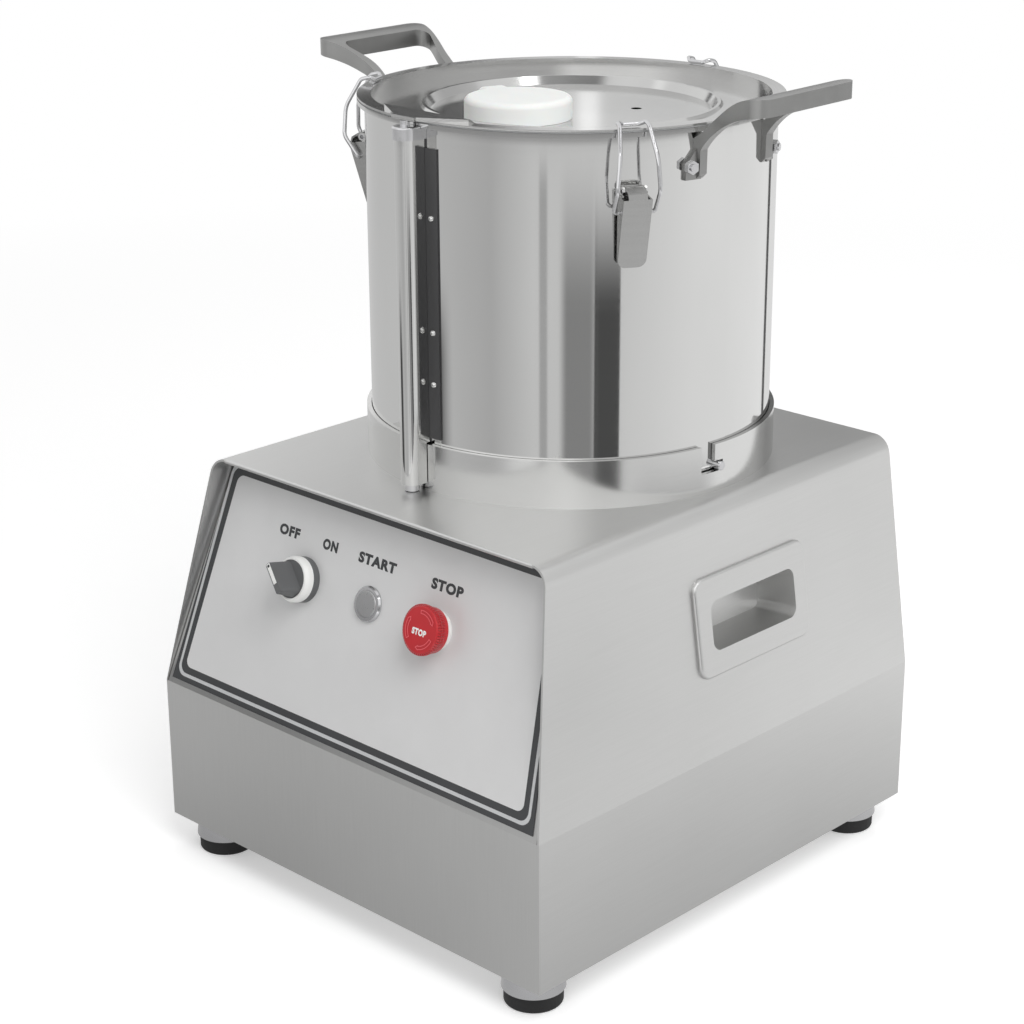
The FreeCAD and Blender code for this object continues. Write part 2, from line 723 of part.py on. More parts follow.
def bayonet_pin():
    """Round stud that stands out of the bowl wall through the ring's slot."""
    stud = Part.makeCylinder(PIN_R, PIN_STAND + 1, V(BOWL_R - 1, 0, PIN_Z), V(1, 0, 0))
    tip = [e for e in stud.Edges if e.CenterOfMass.x > BOWL_R + PIN_STAND - 0.2]
    return stud.makeFillet(1.0, tip).cut(disc(BOWL_R + MATE, PIN_Z - 9, PIN_Z + 9))


def bayonet_pins():
    return group([on_bowl(bayonet_pin(), PIN_AZ + half) for half in (0, 180)])


def bowl():
    """Spun bowl with a rolled rim flange, rounded floor corner and a tube up its middle."""
    inner = BOWL_R - BOWL_WALL
    floor = BOWL_FLOOR
    outer_points = [(0, floor), (BOWL_R, floor), (BOWL_R, RIM_TOP), (0, RIM_TOP)]
    outer = spun(outer_points)
    corner = [e for e in outer.Edges if abs(e.CenterOfMass.z - floor) < 0.01]
    outer = outer.makeFillet(BOWL_CORNER_R, corner)
    bottom, over = floor + BOWL_WALL, RIM_TOP + 5
    inside = spun([(0, bottom), (inner, bottom), (inner, over), (0, over)])
    corner = [e for e in inside.Edges if abs(e.CenterOfMass.z - bottom) < 0.01]
    inside = inside.makeFillet(BOWL_CORNER_R - BOWL_WALL, corner)
    wall = outer.cut(inside)
    flange = tube(RIM_R, inner, RIM_TOP - BOWL_WALL, RIM_TOP)
    lip = tube(RIM_R, RIM_R - 1.0, RIM_TOP - 2 * BOWL_WALL, RIM_TOP)
    chimney = disc(CHIMNEY_R, floor, CHIMNEY_TOP)
    shell = fuse_all([wall, flange, lip, chimney])
    return on_bowl(shell.cut(disc(CHIMNEY_R - BOWL_WALL, floor - 1, CHIMNEY_TOP + 1)))


def column_section(radius, inner_r, z0, z1):
    """The column's round-nosed outline, from the bowl wall out."""
    nose = disc(radius, z0, z1, COLUMN_R)
    flanks = box(inner_r, COLUMN_R, -radius, radius, z0, z1)
    return nose.fuse(flanks).removeSplitter()


def interlock_column():
    """Hollow column up the bowl wall that guides the interlock rod."""
    body = column_section(COLUMN_NOSE_R, BOWL_R - 1, COLUMN_LOW, COLUMN_TOP)
    hollow = column_section(COLUMN_NOSE_R - COLUMN_WALL, BOWL_R - 2, COLUMN_LOW + 8, COLUMN_TOP + 1)
    ledge = box(BOWL_R, COLUMN_R + 5, -6.5, 6.5, SPRING_LOW - 4, SPRING_LOW)
    shell = body.cut(hollow).fuse(ledge.common(body))
    flange_half = COLUMN_NOSE_R + COLUMN_FLANGE
    flange = tube(BOWL_R + 1.1, BOWL_R, TOP_Z + RING_H + 4, COLUMN_TOP - 6)
    flange = flange.common(box(BOWL_R - 20, BOWL_R + 5, -flange_half, flange_half, TOP_Z, RIM_Z))
    shell = fuse_all([shell, flange])
    ring_space = disc(RING_R + RING_T + 0.5, TOP_Z - 50, TOP_Z + RING_H + 1.2)
    shell = shell.cut(ring_space).cut(disc(BOWL_R + MATE, TOP_Z - 50, RIM_Z + 50))
    rivets = []
    for z in [COLUMN_LOW + rise for rise in RIVET_RISES] + [COLUMN_TOP - RIVET_DROP]:
        for side in (-1, 1):
            place = V(BOWL_R + 0.4, side * (COLUMN_NOSE_R + COLUMN_FLANGE / 2), z)
            rivets.append(Part.makeSphere(RIVET_R, place, V(0, 0, 1), -90, 90, 360))
    flange_zone = tube(BOWL_R + 3, BOWL_R + MATE, TOP_Z, RIM_Z)
    shell = fuse_all([shell] + [r.common(flange_zone) for r in rivets])
    foot_bore = disc(ROD_FOOT_R + ROD_FIT, COLUMN_LOW - 1, COLUMN_LOW + 10, COLUMN_R)
    rod_bore = disc(ROD_R + ROD_FIT, SPRING_LOW - 6, SPRING_LOW + 2, COLUMN_R)
    return on_bowl(shell.cut(foot_bore).cut(rod_bore), COLUMN_AZ)


def column_cap():
    """Block that closes the column's top and guides the rod's tip."""
    body = column_section(COLUMN_NOSE_R + 0.9, BOWL_R - 1, COLUMN_TOP, COLUMN_TOP + CAP_BLOCK_H)
    body = body.cut(disc(BOWL_R + 0.1, COLUMN_TOP - 5, COLUMN_TOP + 20))
    top = [e for e in body.Edges if abs(e.BoundBox.ZMin - COLUMN_TOP - CAP_BLOCK_H) < 0.01]
    body = body.makeFillet(1.2, top)
    rim_space = disc(RIM_R + 0.3, RIM_TOP - 2 * BOWL_WALL - 0.3, RIM_Z + 5)
    bore = disc(ROD_R + ROD_FIT, COLUMN_TOP - 1, COLUMN_TOP + 20, COLUMN_R)
    return on_bowl(body.cut(rim_space).cut(bore), COLUMN_AZ)


def interlock_rod():
    """Rod that the lid's tongue holds down, with a flange for its return spring."""
    foot_top = COLUMN_LOW + 16
    foot = disc(ROD_FOOT_R, TOP_Z + 0.5, foot_top, COLUMN_R)
    tip = [e for e in foot.Edges if abs(e.CenterOfMass.z - TOP_Z - 0.5) < 0.01]
    foot = foot.makeFillet(0.8, tip)
    stem = disc(ROD_R, foot_top - 1, ROD_TOP, COLUMN_R)
    spring_top = SPRING_LOW + SPRING_LENGTH
    flange = disc(ROD_R + 2.4, spring_top, spring_top + 3, COLUMN_R)
    return on_bowl(fuse_all([foot, stem, flange]), COLUMN_AZ)


def interlock_spring():
    """Return spring between the column's ledge and the rod's flange."""
    mean = ROD_R + 1.5
    height = SPRING_LENGTH - 2 * SPRING_WIRE_R
    helix = Part.makeHelix(height / SPRING_TURNS, height, mean)
    circle = Part.Wire(Part.makeCircle(SPRING_WIRE_R, V(mean, 0, 0), V(0, 1, 0)))
    coil = Part.Wire(helix.Edges).makePipeShell([circle], True, True)
    coil.translate(V(COLUMN_R, 0, SPRING_LOW + SPRING_WIRE_R))
    return on_bowl(coil, COLUMN_AZ)


def safety_plunger():
    """Button in the housing's top, under the rod, that works the safety switch."""
    button = disc(PLUNGER_R, TOP_Z - SHEET - 10, TOP_Z + 0.3, COLUMN_R)
    collar = disc(PLUNGER_R + 2.0, TOP_Z - SHEET - 10, TOP_Z - SHEET - 6, COLUMN_R)
    return on_bowl(fuse_all([button, collar]), COLUMN_AZ)


def safety_switch():
    """Small switch hung from the housing's top under the plunger."""
    top = TOP_Z - SHEET
    body = box(COLUMN_R - 12, COLUMN_R + 12, -7, 7, top - 34, top - 10.3)
    hanger = box(COLUMN_R + 12, COLUMN_R + 13.5, -7, 7, top - 30, top)
    tab = box(COLUMN_R + 12, COLUMN_R + 24, -7, 7, top - 1.5, top)
    return on_bowl(fuse_all([body, hanger, tab]), COLUMN_AZ)


def control_block(depth):
    """Contact block clipped behind a panel control."""
    block = box(-15, 15, -21, 21, -depth, -14)
    screws = [disc(2.5, -depth - 3, -depth + 1, sx * 8, sy * 12) for sx in (-1, 1) for sy in (-1, 1)]
    return fuse_all([block] + screws)


def switch_blocks():
    """Contact blocks of the three controls and the safety switch."""
    blocks = [on_panel(control_block(depth), x) for depth, x in zip((52, 44, 52), control_positions())]
    return group(blocks + [safety_switch()])


def control_neck(bore):
    """Threaded neck through the panel with its ring nut behind, from the panel's face."""
    neck = tube(CONTROL_HOLE_R - 0.2, bore, -14, OVERLAY_T)
    nut = tube(CONTROL_HOLE_R + 3, CONTROL_HOLE_R - 1, -SHEET - 5, -SHEET)
    return [neck, nut]


def selector_collar():
    """Dark collar of the selector on the panel."""
    collar = tube(SELECTOR_R, 8.0, OVERLAY_T, SELECTOR_COLLAR_H)
    return on_panel(fuse_all([collar] + control_neck(8.0)), control_positions()[0])


def selector_bezel():
    """Pale front ring of the selector, round the knob."""
    low = SELECTOR_COLLAR_H
    high = SELECTOR_COLLAR_H + SELECTOR_BEZEL_H
    ring = spun([
        (SELECTOR_KNOB_R + 0.25, low), (SELECTOR_R, low), (SELECTOR_R, high - 3.0),
        (SELECTOR_R - 1.4, high), (SELECTOR_KNOB_R + 0.25, high),
    ])
    return on_panel(ring, control_positions()[0])


def selector_knob():
    """Round knob with a tapered fin, resting 45 degrees left of upright at OFF."""
    low = SELECTOR_COLLAR_H + 0.3
    face = SELECTOR_COLLAR_H + SELECTOR_BEZEL_H - 0.4
    knob = disc(SELECTOR_KNOB_R, low, face)
    base = rounded_wire(11.0, 2 * SELECTOR_KNOB_R - 1.5, 3.0, face - 1)
    crest = rounded_wire(4.6, 2 * SELECTOR_KNOB_R - 3.0, 1.2, face + SELECTOR_FIN_H)
    fin = Part.makeLoft([base, crest], True)
    fin = fin.common(disc(SELECTOR_KNOB_R - 0.3, low, face + SELECTOR_FIN_H + 5))
    stem = disc(7.9, -13, low + 1)
    knob = fuse_all([knob, fin, stem])
    knob.rotate(V(0, 0, 0), V(0, 0, 1), SELECTOR_REST)
    return on_panel(knob, control_positions()[0])


def start_button_ring():
    """Flush metal ring of the start button with its neck."""
    high = START_RING_H
    ring = spun([
        (START_CAP_R + 0.1, OVERLAY_T), (START_RING_R, OVERLAY_T), (START_RING_R, high - 1.2),
        (START_RING_R - 1.0, high), (START_CAP_R + 0.1, high),
    ])
    return on_panel(fuse_all([ring] + control_neck(START_CAP_R + 0.1)), control_positions()[1])


def start_button_cap():
    """Metal push cap of the start button."""
    cap = disc(START_CAP_R, -9, START_RING_H + 0.4)
    crown = [e for e in cap.Edges if abs(e.CenterOfMass.z - START_RING_H - 0.4) < 0.01]
    return on_panel(cap.makeFillet(0.6, crown), control_positions()[1])


def estop_collar():
    """Pale collar of the stop button on the panel."""
    collar = tube(ESTOP_COLLAR_R, 4.1, OVERLAY_T, ESTOP_COLLAR_H)
    return on_panel(fuse_all([collar] + control_neck(4.1)), control_positions()[2])


def estop_stem():
    """Stem that slides in the collar and carries the mushroom head."""
    return on_panel(disc(4.0, -9.5, ESTOP_FRONT - 4.0), control_positions()[2])


def estop_head():
    """Mushroom head with a ribbed skirt that drops over the collar when pressed."""
    front = ESTOP_FRONT
    skirt_low = ESTOP_COLLAR_H + 1.2
    body = spun([
        (0, skirt_low + 4.6), (ESTOP_COLLAR_R + 0.4, skirt_low + 4.6), (ESTOP_COLLAR_R + 0.4, skirt_low),
        (ESTOP_COLLAR_R + 2.2, skirt_low), (ESTOP_HEAD_R - 0.8, front - 4.4), (ESTOP_HEAD_R, front - 3.2),
        (ESTOP_HEAD_R, front - 1.6), (ESTOP_HEAD_R - 2.0, front - 0.3), (0, front),
    ])
    pocket = disc(4.0 + PIN_FIT, 0, ESTOP_FRONT - 3.9)
    return on_panel(body.cut(pocket), control_positions()[2])


def lid():
    """Pan-shaped lid with a rim flange, a raised bead, a feed hole and the tongue."""
    flange_low = RIM_Z - LID_T
    inner = RECESS_R - LID_T
    bead_in, bead_out = BEAD_R - BEAD_W, BEAD_R
    pan = spun([
        (0, CENTRE_Z - LID_T), (bead_in, CENTRE_Z - LID_T), (bead_in + 2.0, ANNULUS_Z - LID_T),
        (RECESS_R, ANNULUS_Z - LID_T), (RECESS_R, flange_low), (RIM_R, flange_low), (RIM_R, RIM_Z),
        (inner, RIM_Z), (inner, ANNULUS_Z), (bead_out, ANNULUS_Z), (bead_out - 1.6, ANNULUS_Z + BEAD_H),
        (bead_in + 2.2, ANNULUS_Z + BEAD_H), (bead_in - 1.0, CENTRE_Z), (0, CENTRE_Z),
    ])
    tongue = lid_tongue()
    feed = disc(FEED_R, CENTRE_Z - 5, CENTRE_Z + 5, FEED_OFFSET)
    feed = on_bowl_axis(feed, FEED_AZ)
    oil_hole = on_bowl_axis(disc(OIL_HOLE_R, CENTRE_Z - 5, CENTRE_Z + 5, OIL_HOLE_OFFSET), OIL_HOLE_AZ)
    return on_bowl(fuse_all([pan, tongue]).cut(feed).cut(oil_hole))


def lid_tongue():
    """Joggled plate from the lid's ring out over the rim, above the interlock rod."""
    low, high = ANNULUS_Z - 0.2, RIM_Z
    step_in, step_out = BEAD_R + 17, RECESS_R - LID_T - 3
    bottom = [(BEAD_R + 1, low), (step_in, low), (step_out, high), (TONGUE_REACH, high)]
    top = [(TONGUE_REACH, high + TONGUE_T), (step_out - 1, high + TONGUE_T)]
    top += [(step_in - 1, low + TONGUE_T), (BEAD_R + 1, low + TONGUE_T)]
    side = profile_xz(bottom + top, -TONGUE_ROOT_W, TONGUE_ROOT_W)
    root, tip = TONGUE_ROOT_W / 2, TONGUE_W / 2
    shoulder = RECESS_R - 4
    plan = profile_xy(
        [(BEAD_R - 20, -root), (shoulder, -root), (TONGUE_REACH - 2, -tip), (TONGUE_REACH + 5, -tip),
         (TONGUE_REACH + 5, tip), (TONGUE_REACH - 2, tip), (shoulder, root), (BEAD_R - 20, root)],
        low - 5, high + 10,
    )
    return on_bowl_axis(side.common(plan).cut(disc(BEAD_R + 0.5, low - 5, high + 10)), COLUMN_AZ)


def lid_gasket():
    """Soft ring under the lid's flange, with a skirt inside the bowl's mouth."""
    high = RIM_Z - LID_T
    low = high - GASKET_T
    inner = RECESS_R + GASKET_GAP
    ring = spun([
        (inner, high), (RIM_R - 0.3, high), (RIM_R - 0.3, low), (RECESS_R + 1.4, low),
        (RECESS_R + 1.2, ANNULUS_Z - 3), (inner, ANNULUS_Z - 3),
    ])
    return on_bowl(ring)


def feed_cap():
    """Plastic plug of the feed hole, with a rounded crown and a finger tab."""
    low = CENTRE_Z + 0.1
    high = low + CAP_T
    top = disc(CAP_R, low, high)
    tab = rounded_plate(2 * CAP_TAB_REACH + 6, CAP_TAB_W, 4.5, low + CAP_T / 2, high)
    tab.translate(V(CAP_R - 3, 0, 0))
    top = fuse_all([top, on_bowl_axis(tab, CAP_TAB_AZ - FEED_AZ)])
    crown = [e for e in top.Edges if abs(e.BoundBox.ZMin - high) < 0.01]
    top = top.makeFillet(CAP_CROWN_R, crown)
    plug = tube(FEED_R - CAP_FIT, FEED_R - CAP_FIT - 2.5, low - CAP_PLUG_H, low + 1)
    cap = fuse_all([top, plug])
    cap.translate(V(FEED_OFFSET, 0, 0))
    return on_bowl(cap, FEED_AZ)


def latch_bracket():
    """Base on the bowl wall with two ears for the lever's pin."""
    half = BRACKET_W / 2
    low, high = PIVOT_Z - 14, PIVOT_Z + 1.5
    base = tube(BOWL_R + EAR_T, BOWL_R, low, high)
    base = base.common(box(BOWL_R - 20, BOWL_R + 5, -half, half, low, high))
    ears = []
    for side in (-1, 1):
        y0, y1 = sorted((side * half, side * (half - EAR_T)))
        slope = EAR_NOSE_R * math.sqrt(0.5)
        outline = [(BOWL_R - 1, low + 1), (PIVOT_R, PIVOT_Z - EAR_NOSE_R), (PIVOT_R + slope, PIVOT_Z - slope),
                   (PIVOT_R + EAR_NOSE_R, PIVOT_Z), (PIVOT_R + slope, PIVOT_Z + slope),
                   (PIVOT_R, PIVOT_Z + EAR_NOSE_R), (BOWL_R - 1, high)]
        ears.append(profile_xz(outline, y0, y1))
    bracket = fuse_all([base] + ears).cut(disc(BOWL_R + MATE, low - 5, high + 5))
    return bracket.cut(cross_rod(LATCH_PIN_R, 40, PIVOT_R, PIVOT_Z))


def latch_pin():
    """Hollow pin through the bracket's ears and the lever's knuckle."""
    length = BRACKET_W + 0.8
    pin = cross_rod(LATCH_PIN_R, length, PIVOT_R, PIVOT_Z)
    return pin.cut(cross_rod(LATCH_PIN_R - LATCH_PIN_WALL, length + 2, PIVOT_R, PIVOT_Z))


def latch_brackets():
    return group([on_bowl(latch_bracket(), azimuth) for azimuth in LATCH_AZ])


def latch_pins():
    return group([on_bowl(latch_pin(), azimuth) for azimuth in LATCH_AZ])


def facing_plate(points, radii):
    """An outline in Y and Z with round corners, drawn outwards from the bowl wall."""
    plate = plan_outline([(z, y) for y, z in points], radii, -BOWL_R - 40, -BOWL_R)
    plate.rotate(V(0, 0, 0), V(0, 1, 0), -90)
    return plate


def latch_lever():
    """Lever plate with tapered cheeks and a knuckle that turns on the bracket's pin."""
    half, thin = LEVER_W / 2, LEVER_T
    top_r, top_z = PIVOT_R + LEVER_STAND, PIVOT_Z - 4.0
    tip_r, tip_z = BOWL_R + LEVER_TIP_OUT, PIVOT_Z - LEVER_LENGTH
    slab = [(top_r, top_z), (tip_r, tip_z), (tip_r - thin, tip_z), (top_r - thin, top_z)]
    plate = profile_xz(slab, -half, half)
    corners = [(-half, top_z + 9), (-half, tip_z), (half, tip_z), (half, top_z + 9)]
    plate = plate.common(facing_plate(corners, [0, LEVER_CORNER_R, LEVER_CORNER_R, 0]))
    hood = profile_xz(
        [(PIVOT_R, PIVOT_Z + KNUCKLE_R), (PIVOT_R + 3.5, PIVOT_Z + 2.4), (top_r - 1.0, PIVOT_Z - 0.6),
         (top_r, top_z), (top_r - thin, top_z), (top_r - 1.8, PIVOT_Z - 1.6), (PIVOT_R + 2.4, PIVOT_Z + 1.2)],
        -KNUCKLE_W / 2, KNUCKLE_W / 2,
    )
    knuckle = cross_rod(KNUCKLE_R, KNUCKLE_W, PIVOT_R, PIVOT_Z)
    inner = tip_r - thin
    cheek = [(top_r - thin / 2, top_z), (tip_r - thin / 2, tip_z + 3), (inner, tip_z + 3),
             (inner + 0.3, BAIL_Z - 6), (inner + 0.6, PIVOT_Z - 3.6), (inner + 1.6, PIVOT_Z - 2.8)]
    cheeks = []
    for side in (-1, 1):
        y0, y1 = sorted((side * half, side * (half - thin)))
        cheeks.append(profile_xz(cheek, y0, y1))
    lever = fuse_all([plate, hood, knuckle] + cheeks)
    lever = lever.cut(cross_rod(LATCH_PIN_R + PIN_FIT, 40, PIVOT_R, PIVOT_Z))
    return lever.cut(cross_rod(BAIL_WIRE_R + PIN_FIT, 40, BAIL_R, BAIL_Z))


def bail_points():
    """Half of the bail's line, from its foot in the lever's cheek up to the bar over the lid."""
    inner = LEVER_W / 2 - LEVER_T - 0.4
    over = RIM_Z + BAIL_WIRE_R + BAIL_OVER_LID
    foot, top, bow = BAIL_FOOT_HALF, BAIL_TOP_HALF, BAIL_R + BAIL_BOW
    return [
        (BAIL_R, inner, BAIL_Z),
        (BAIL_R, foot, BAIL_Z),
        (bow, foot + 0.5, BAIL_Z + 15),
        (bow - 1.0, foot - 1.2, BAIL_Z + 35),
        (RIM_R + 3.1, top + 0.3, over + 0.4),
        (RIM_R - 3.0, top, over + 1.8),
        (RIM_R - 5.9, top - 3.5, over),
        (RIM_R - 5.9, 0.0, over),
    ]


def bail_radii():
    """Bend radius at each inner point of the bail's half line."""
    return [2.6, 9.0, 20.0, 4.0, 2.5, 2.5]


def rounded_path(points, radii):
    """Straight runs joined by tangent arcs, one radius for each inner point."""
    edges = []
    start = points[0]
    for k in range(1, len(points) - 1):
        before, here, after = points[k - 1], points[k], points[k + 1]
        first, second = (here - before).normalize(), (after - here).normalize()
        turn = first.getAngle(second)
        if turn < 0.001:
            continue
        reach = radii[k - 1] * math.tan(turn / 2)
        a, b = here - first * reach, here + second * reach
        inward = (second - first).normalize()
        centre = here + inward * (radii[k - 1] / math.cos(turn / 2))
        middle = centre - inward * radii[k - 1]
        edges += [Part.makeLine(start, a), Part.Arc(a, middle, b).toShape()]
        start = b
    edges.append(Part.makeLine(start, points[-1]))
    return Part.Wire(edges)


def latch_bail():
    """Bowed wire loop from the lever over the lid's rim."""
    half = [V(*p) for p in bail_points()]
    mirrored = [V(p.x, -p.y, p.z) for p in reversed(half[:-1])]
    radii = bail_radii()
    path = rounded_path(half[:-1] + mirrored, radii + radii[::-1])
    section = Part.Wire(Part.makeCircle(BAIL_WIRE_R, half[0], V(0, 1, 0)))
    return path.makePipeShell([section], True, False)


def leg_seat():
    """How far out the bowl wall lies at a handle's leg, across the handle's own axis."""
    return math.sqrt(BOWL_R ** 2 - HANDLE_LEG_HALF ** 2)


def handle_profile():
    """Side view of an arm: up the wall, clear of the rim and out to the grip."""
    seat, low = leg_seat(), HANDLE_LEG_LOW
    leg_out, free = seat + HANDLE_LEG_T, low + HANDLE_LEG_H
    reach, top = HANDLE_REACH, HANDLE_TOP_Z
    under = top - HANDLE_GRIP_H
    inner_half = HANDLE_LEG_HALF - HANDLE_ARM_T / 2
    rim = math.sqrt(RIM_R ** 2 - inner_half ** 2) + 1.4
    back = seat - 8
    lower = [V(leg_out, 0, low + 3), V(leg_out + 0.3, 0, free - 1), V(leg_out + 7.5, 0, free + 8),
             V(leg_out + 19.5, 0, free + 16.5), V(leg_out + 33, 0, free + 22.4), V(reach, 0, under)]
    upper = [V(reach, 0, top), V(reach - 14, 0, top - 1.2), V(reach - 30, 0, top - 7.5),
             V(rim + 9, 0, RIM_Z + 4), V(rim, 0, RIM_Z - 4.5), V(back, 0, free + 1)]
    return [
        Part.makeLine(V(back, 0, low), V(leg_out - 3, 0, low)),
        Part.makeLine(V(leg_out - 3, 0, low), lower[0]),
        Part.makeLine(lower[0], lower[1]),
        Part.Arc(lower[1], lower[2], lower[3]).toShape(),
        Part.Arc(lower[3], lower[4], lower[5]).toShape(),
        Part.makeLine(lower[5], upper[0]),
        Part.Arc(upper[0], upper[1], upper[2]).toShape(),
        Part.Arc(upper[2], upper[3], upper[4]).toShape(),
        Part.makeLine(upper[4], upper[5]),
        Part.makeLine(upper[5], V(back, 0, low)),
    ]


def handle():
    """Cast handle: two arms up from the wall and outwards, joined by a flat grip."""
    low, top = HANDLE_LEG_LOW, HANDLE_TOP_Z
    outer, grip_in = HANDLE_REACH, HANDLE_REACH - HANDLE_GRIP_W
    side = Part.Face(Part.Wire(handle_profile()))
    side.translate(V(0, -HANDLE_GRIP_HALF - 5, 0))
    side = side.extrude(V(0, 2 * HANDLE_GRIP_HALF + 10, 0))
    leg, tip, t = HANDLE_LEG_HALF, HANDLE_GRIP_HALF, HANDLE_ARM_T
    back, bend = leg_seat() - 10, leg_seat() + 18
    wide, narrow = leg + t / 2, leg - t / 2
    tip_in = tip - t - 1.5
    outline = plan_outline(
        [(back, wide), (bend, wide), (outer, tip), (outer, -tip), (bend, -wide), (back, -wide)],
        [0, HANDLE_BEND_R, HANDLE_CORNER_R, HANDLE_CORNER_R, HANDLE_BEND_R, 0], low - 5, top + 5,
    )
    inner_r = HANDLE_CORNER_R - 2
    window = plan_outline(
        [(back - 3, narrow), (bend, narrow), (grip_in, tip_in), (grip_in, -tip_in), (bend, -narrow),
         (back - 3, -narrow)],
        [0, HANDLE_BEND_R, inner_r, inner_r, HANDLE_BEND_R, 0], low - 10, top + 10,
    )
    body = side.common(outline.cut(window))
    body = fuse_all([body, handle_lug(1), handle_lug(-1)]).cut(disc(BOWL_R + MATE, low - 10, top + 10))
    return body.cut(group([handle_stud(side, HANDLE_BOLT_R + 0.1, 20.0) for side in (-1, 1)]))


def handle_lug(side):
    """Flat lug on the outer side of a handle's leg, curved to the bowl wall."""
    low, high = HANDLE_LEG_LOW, HANDLE_LEG_LOW + HANDLE_LEG_H
    leg = HANDLE_LEG_HALF
    middle = low + HANDLE_LEG_H / 2
    points = [(leg, low), (LUG_REACH, low), (LUG_REACH, middle), (leg + HANDLE_ARM_T / 2, high), (leg, high)]
    prism = solid_from([V(BOWL_R - 40, side * y, z) for y, z in points]).extrude(V(60, 0, 0))
    return prism.common(tube(BOWL_R + LUG_T, BOWL_R - 5, low - 1, high + 1))


def at_stud(shape, side):
    """Moves a shape built along +X from the bowl's axis to a handle's stud."""
    angle = math.degrees(math.asin(HANDLE_BOLT_T / BOWL_R))
    moved = shape.copy()
    moved.translate(V(0, 0, HANDLE_LEG_LOW + HANDLE_BOLT_RISE))
    return on_bowl_axis(moved, side * angle)


def handle_stud(side, radius, length):
    stud = Part.makeCylinder(radius, length, V(BOWL_R + MATE, 0, 0), V(1, 0, 0))
    return at_stud(stud, side)


def handle_bolt(side):
    """Stud on the bowl wall through the handle's lug, with its hexagon nut."""
    nut = hex_upright(HANDLE_NUT_R, 0, HANDLE_NUT_H)
    nut.rotate(V(0, 0, 0), V(0, 1, 0), 90)
    nut.translate(V(BOWL_R + LUG_T, 0, 0))
    stud = handle_stud(side, HANDLE_BOLT_R, LUG_T + HANDLE_NUT_H + 1.4)
    return fuse_all([stud, at_stud(nut, side)])


def handle_bolts():
    return group([on_bowl(handle_bolt(side), azimuth) for azimuth in HANDLE_AZ for side in (-1, 1)])


def plan_outline(points, radii, z0, z1):
    """A closed outline in X and Y with rounded corners, drawn up from z0 to z1."""
    count = len(points)
    corners = [V(x, y, z0) for x, y in points]
    edges = []
    ends = []
    for k in range(count):
        before, here, after = corners[k - 1], corners[k], corners[(k + 1) % count]
        if radii[k] == 0:
            ends.append((here, here, None))
            continue
        first, second = (here - before).normalize(), (after - here).normalize()
        turn = first.getAngle(second)
        reach = radii[k] * math.tan(turn / 2)
        a, b = here - first * reach, here + second * reach
        inward = (second - first).normalize()
        middle = here + inward * (radii[k] / math.cos(turn / 2) - radii[k])
        ends.append((a, b, Part.Arc(a, middle, b).toShape()))
    for k in range(count):
        start, finish, arc = ends[k]
        if arc is not None:
            edges.append(arc)
        edges.append(Part.makeLine(finish, ends[(k + 1) % count][0]))
    return Part.Face(Part.Wire(edges)).extrude(V(0, 0, z1 - z0))


def shaft_boss():
    """Machined boss through the housing's top, up inside the bowl's middle tube."""
    flange = disc(BOSS_R + 12, TOP_Z, TOP_Z + 3)
    body = disc(BOSS_R, TOP_Z - SHEET, BOSS_TOP)
    seal_seat = disc(BOSS_R - 3, BOSS_TOP - 8, BOSS_TOP + 1)
    bore = disc(SHAFT_R + 1.0, TOP_Z - SHEET - 1, BOSS_TOP + 1)
    return on_bowl(fuse_all([flange, body]).cut(seal_seat).cut(bore))


def shaft_seal():
    """Lip seal in the boss round the shaft."""
    outer = BOSS_R - 3
    ring = tube(outer, SHAFT_R + 0.5, BOSS_TOP - 8, BOSS_TOP)
    return on_bowl(ring)


def motor_top_bell():
    """Upper end shield with the flange that hangs the motor under the housing's top."""
    top = TOP_Z - SHEET
    flange = disc(FLANGE_R, top - FLANGE_T, top)
    skirt = tube(MOTOR_R, MOTOR_R - BELL_SKIRT, MOTOR_HIGH, top - FLANGE_T + 1)
    hub = disc(BEARING_R + 6, MOTOR_HIGH + 2, top)
    rib = box(BEARING_R, MOTOR_R - 3, -3, 3, MOTOR_HIGH + 4, top - FLANGE_T + 1)
    ribs = around(rib, 6)
    bell = fuse_all([flange, skirt, hub] + ribs)
    bearing_seat = disc(BEARING_R, MOTOR_HIGH + 1, MOTOR_HIGH + 5 + BEARING_H)
    bore = disc(SHAFT_R + 1.5, MOTOR_HIGH, top + 1)
    bolt_hole = disc(BOLT_R + 0.05, top - FLANGE_T - 1, top + 1, FLANGE_R - MOTOR_BOLT_INSET)
    bolt_holes = [on_bowl_axis(bolt_hole, azimuth) for azimuth in MOTOR_BOLT_AZ]
    return on_bowl(bell.cut(bearing_seat).cut(bore).cut(group(bolt_holes)))


def motor_frame():
    """Rolled motor body with cooling ribs."""
    body = tube(MOTOR_R, MOTOR_R - MOTOR_WALL, MOTOR_LOW, MOTOR_HIGH)
    rib = box(MOTOR_R - 1, MOTOR_R + RIB_H, -1.2, 1.2, MOTOR_LOW + 8, MOTOR_HIGH - 8)
    return on_bowl(fuse_all([body] + around(rib, RIB_COUNT)))


def motor_bottom_bell():
    """Lower end shield that holds the lower bearing."""
    plate = disc(MOTOR_R, MOTOR_LOW - 6, MOTOR_LOW)
    hub = disc(BEARING_R + 6, MOTOR_LOW - 20, MOTOR_LOW)
    bearing_seat = disc(BEARING_R, MOTOR_LOW - 17, MOTOR_LOW + 1)
    bore = disc(SHAFT_R + 1.5, MOTOR_LOW - 25, MOTOR_LOW + 1)
    window = box(MOTOR_R - 41, MOTOR_R - 14, -8, 8, MOTOR_LOW - 8, MOTOR_LOW + 1)
    windows = around(window, 8)
    return on_bowl(fuse_all([plate, hub]).cut(bearing_seat).cut(bore).cut(group(windows)))


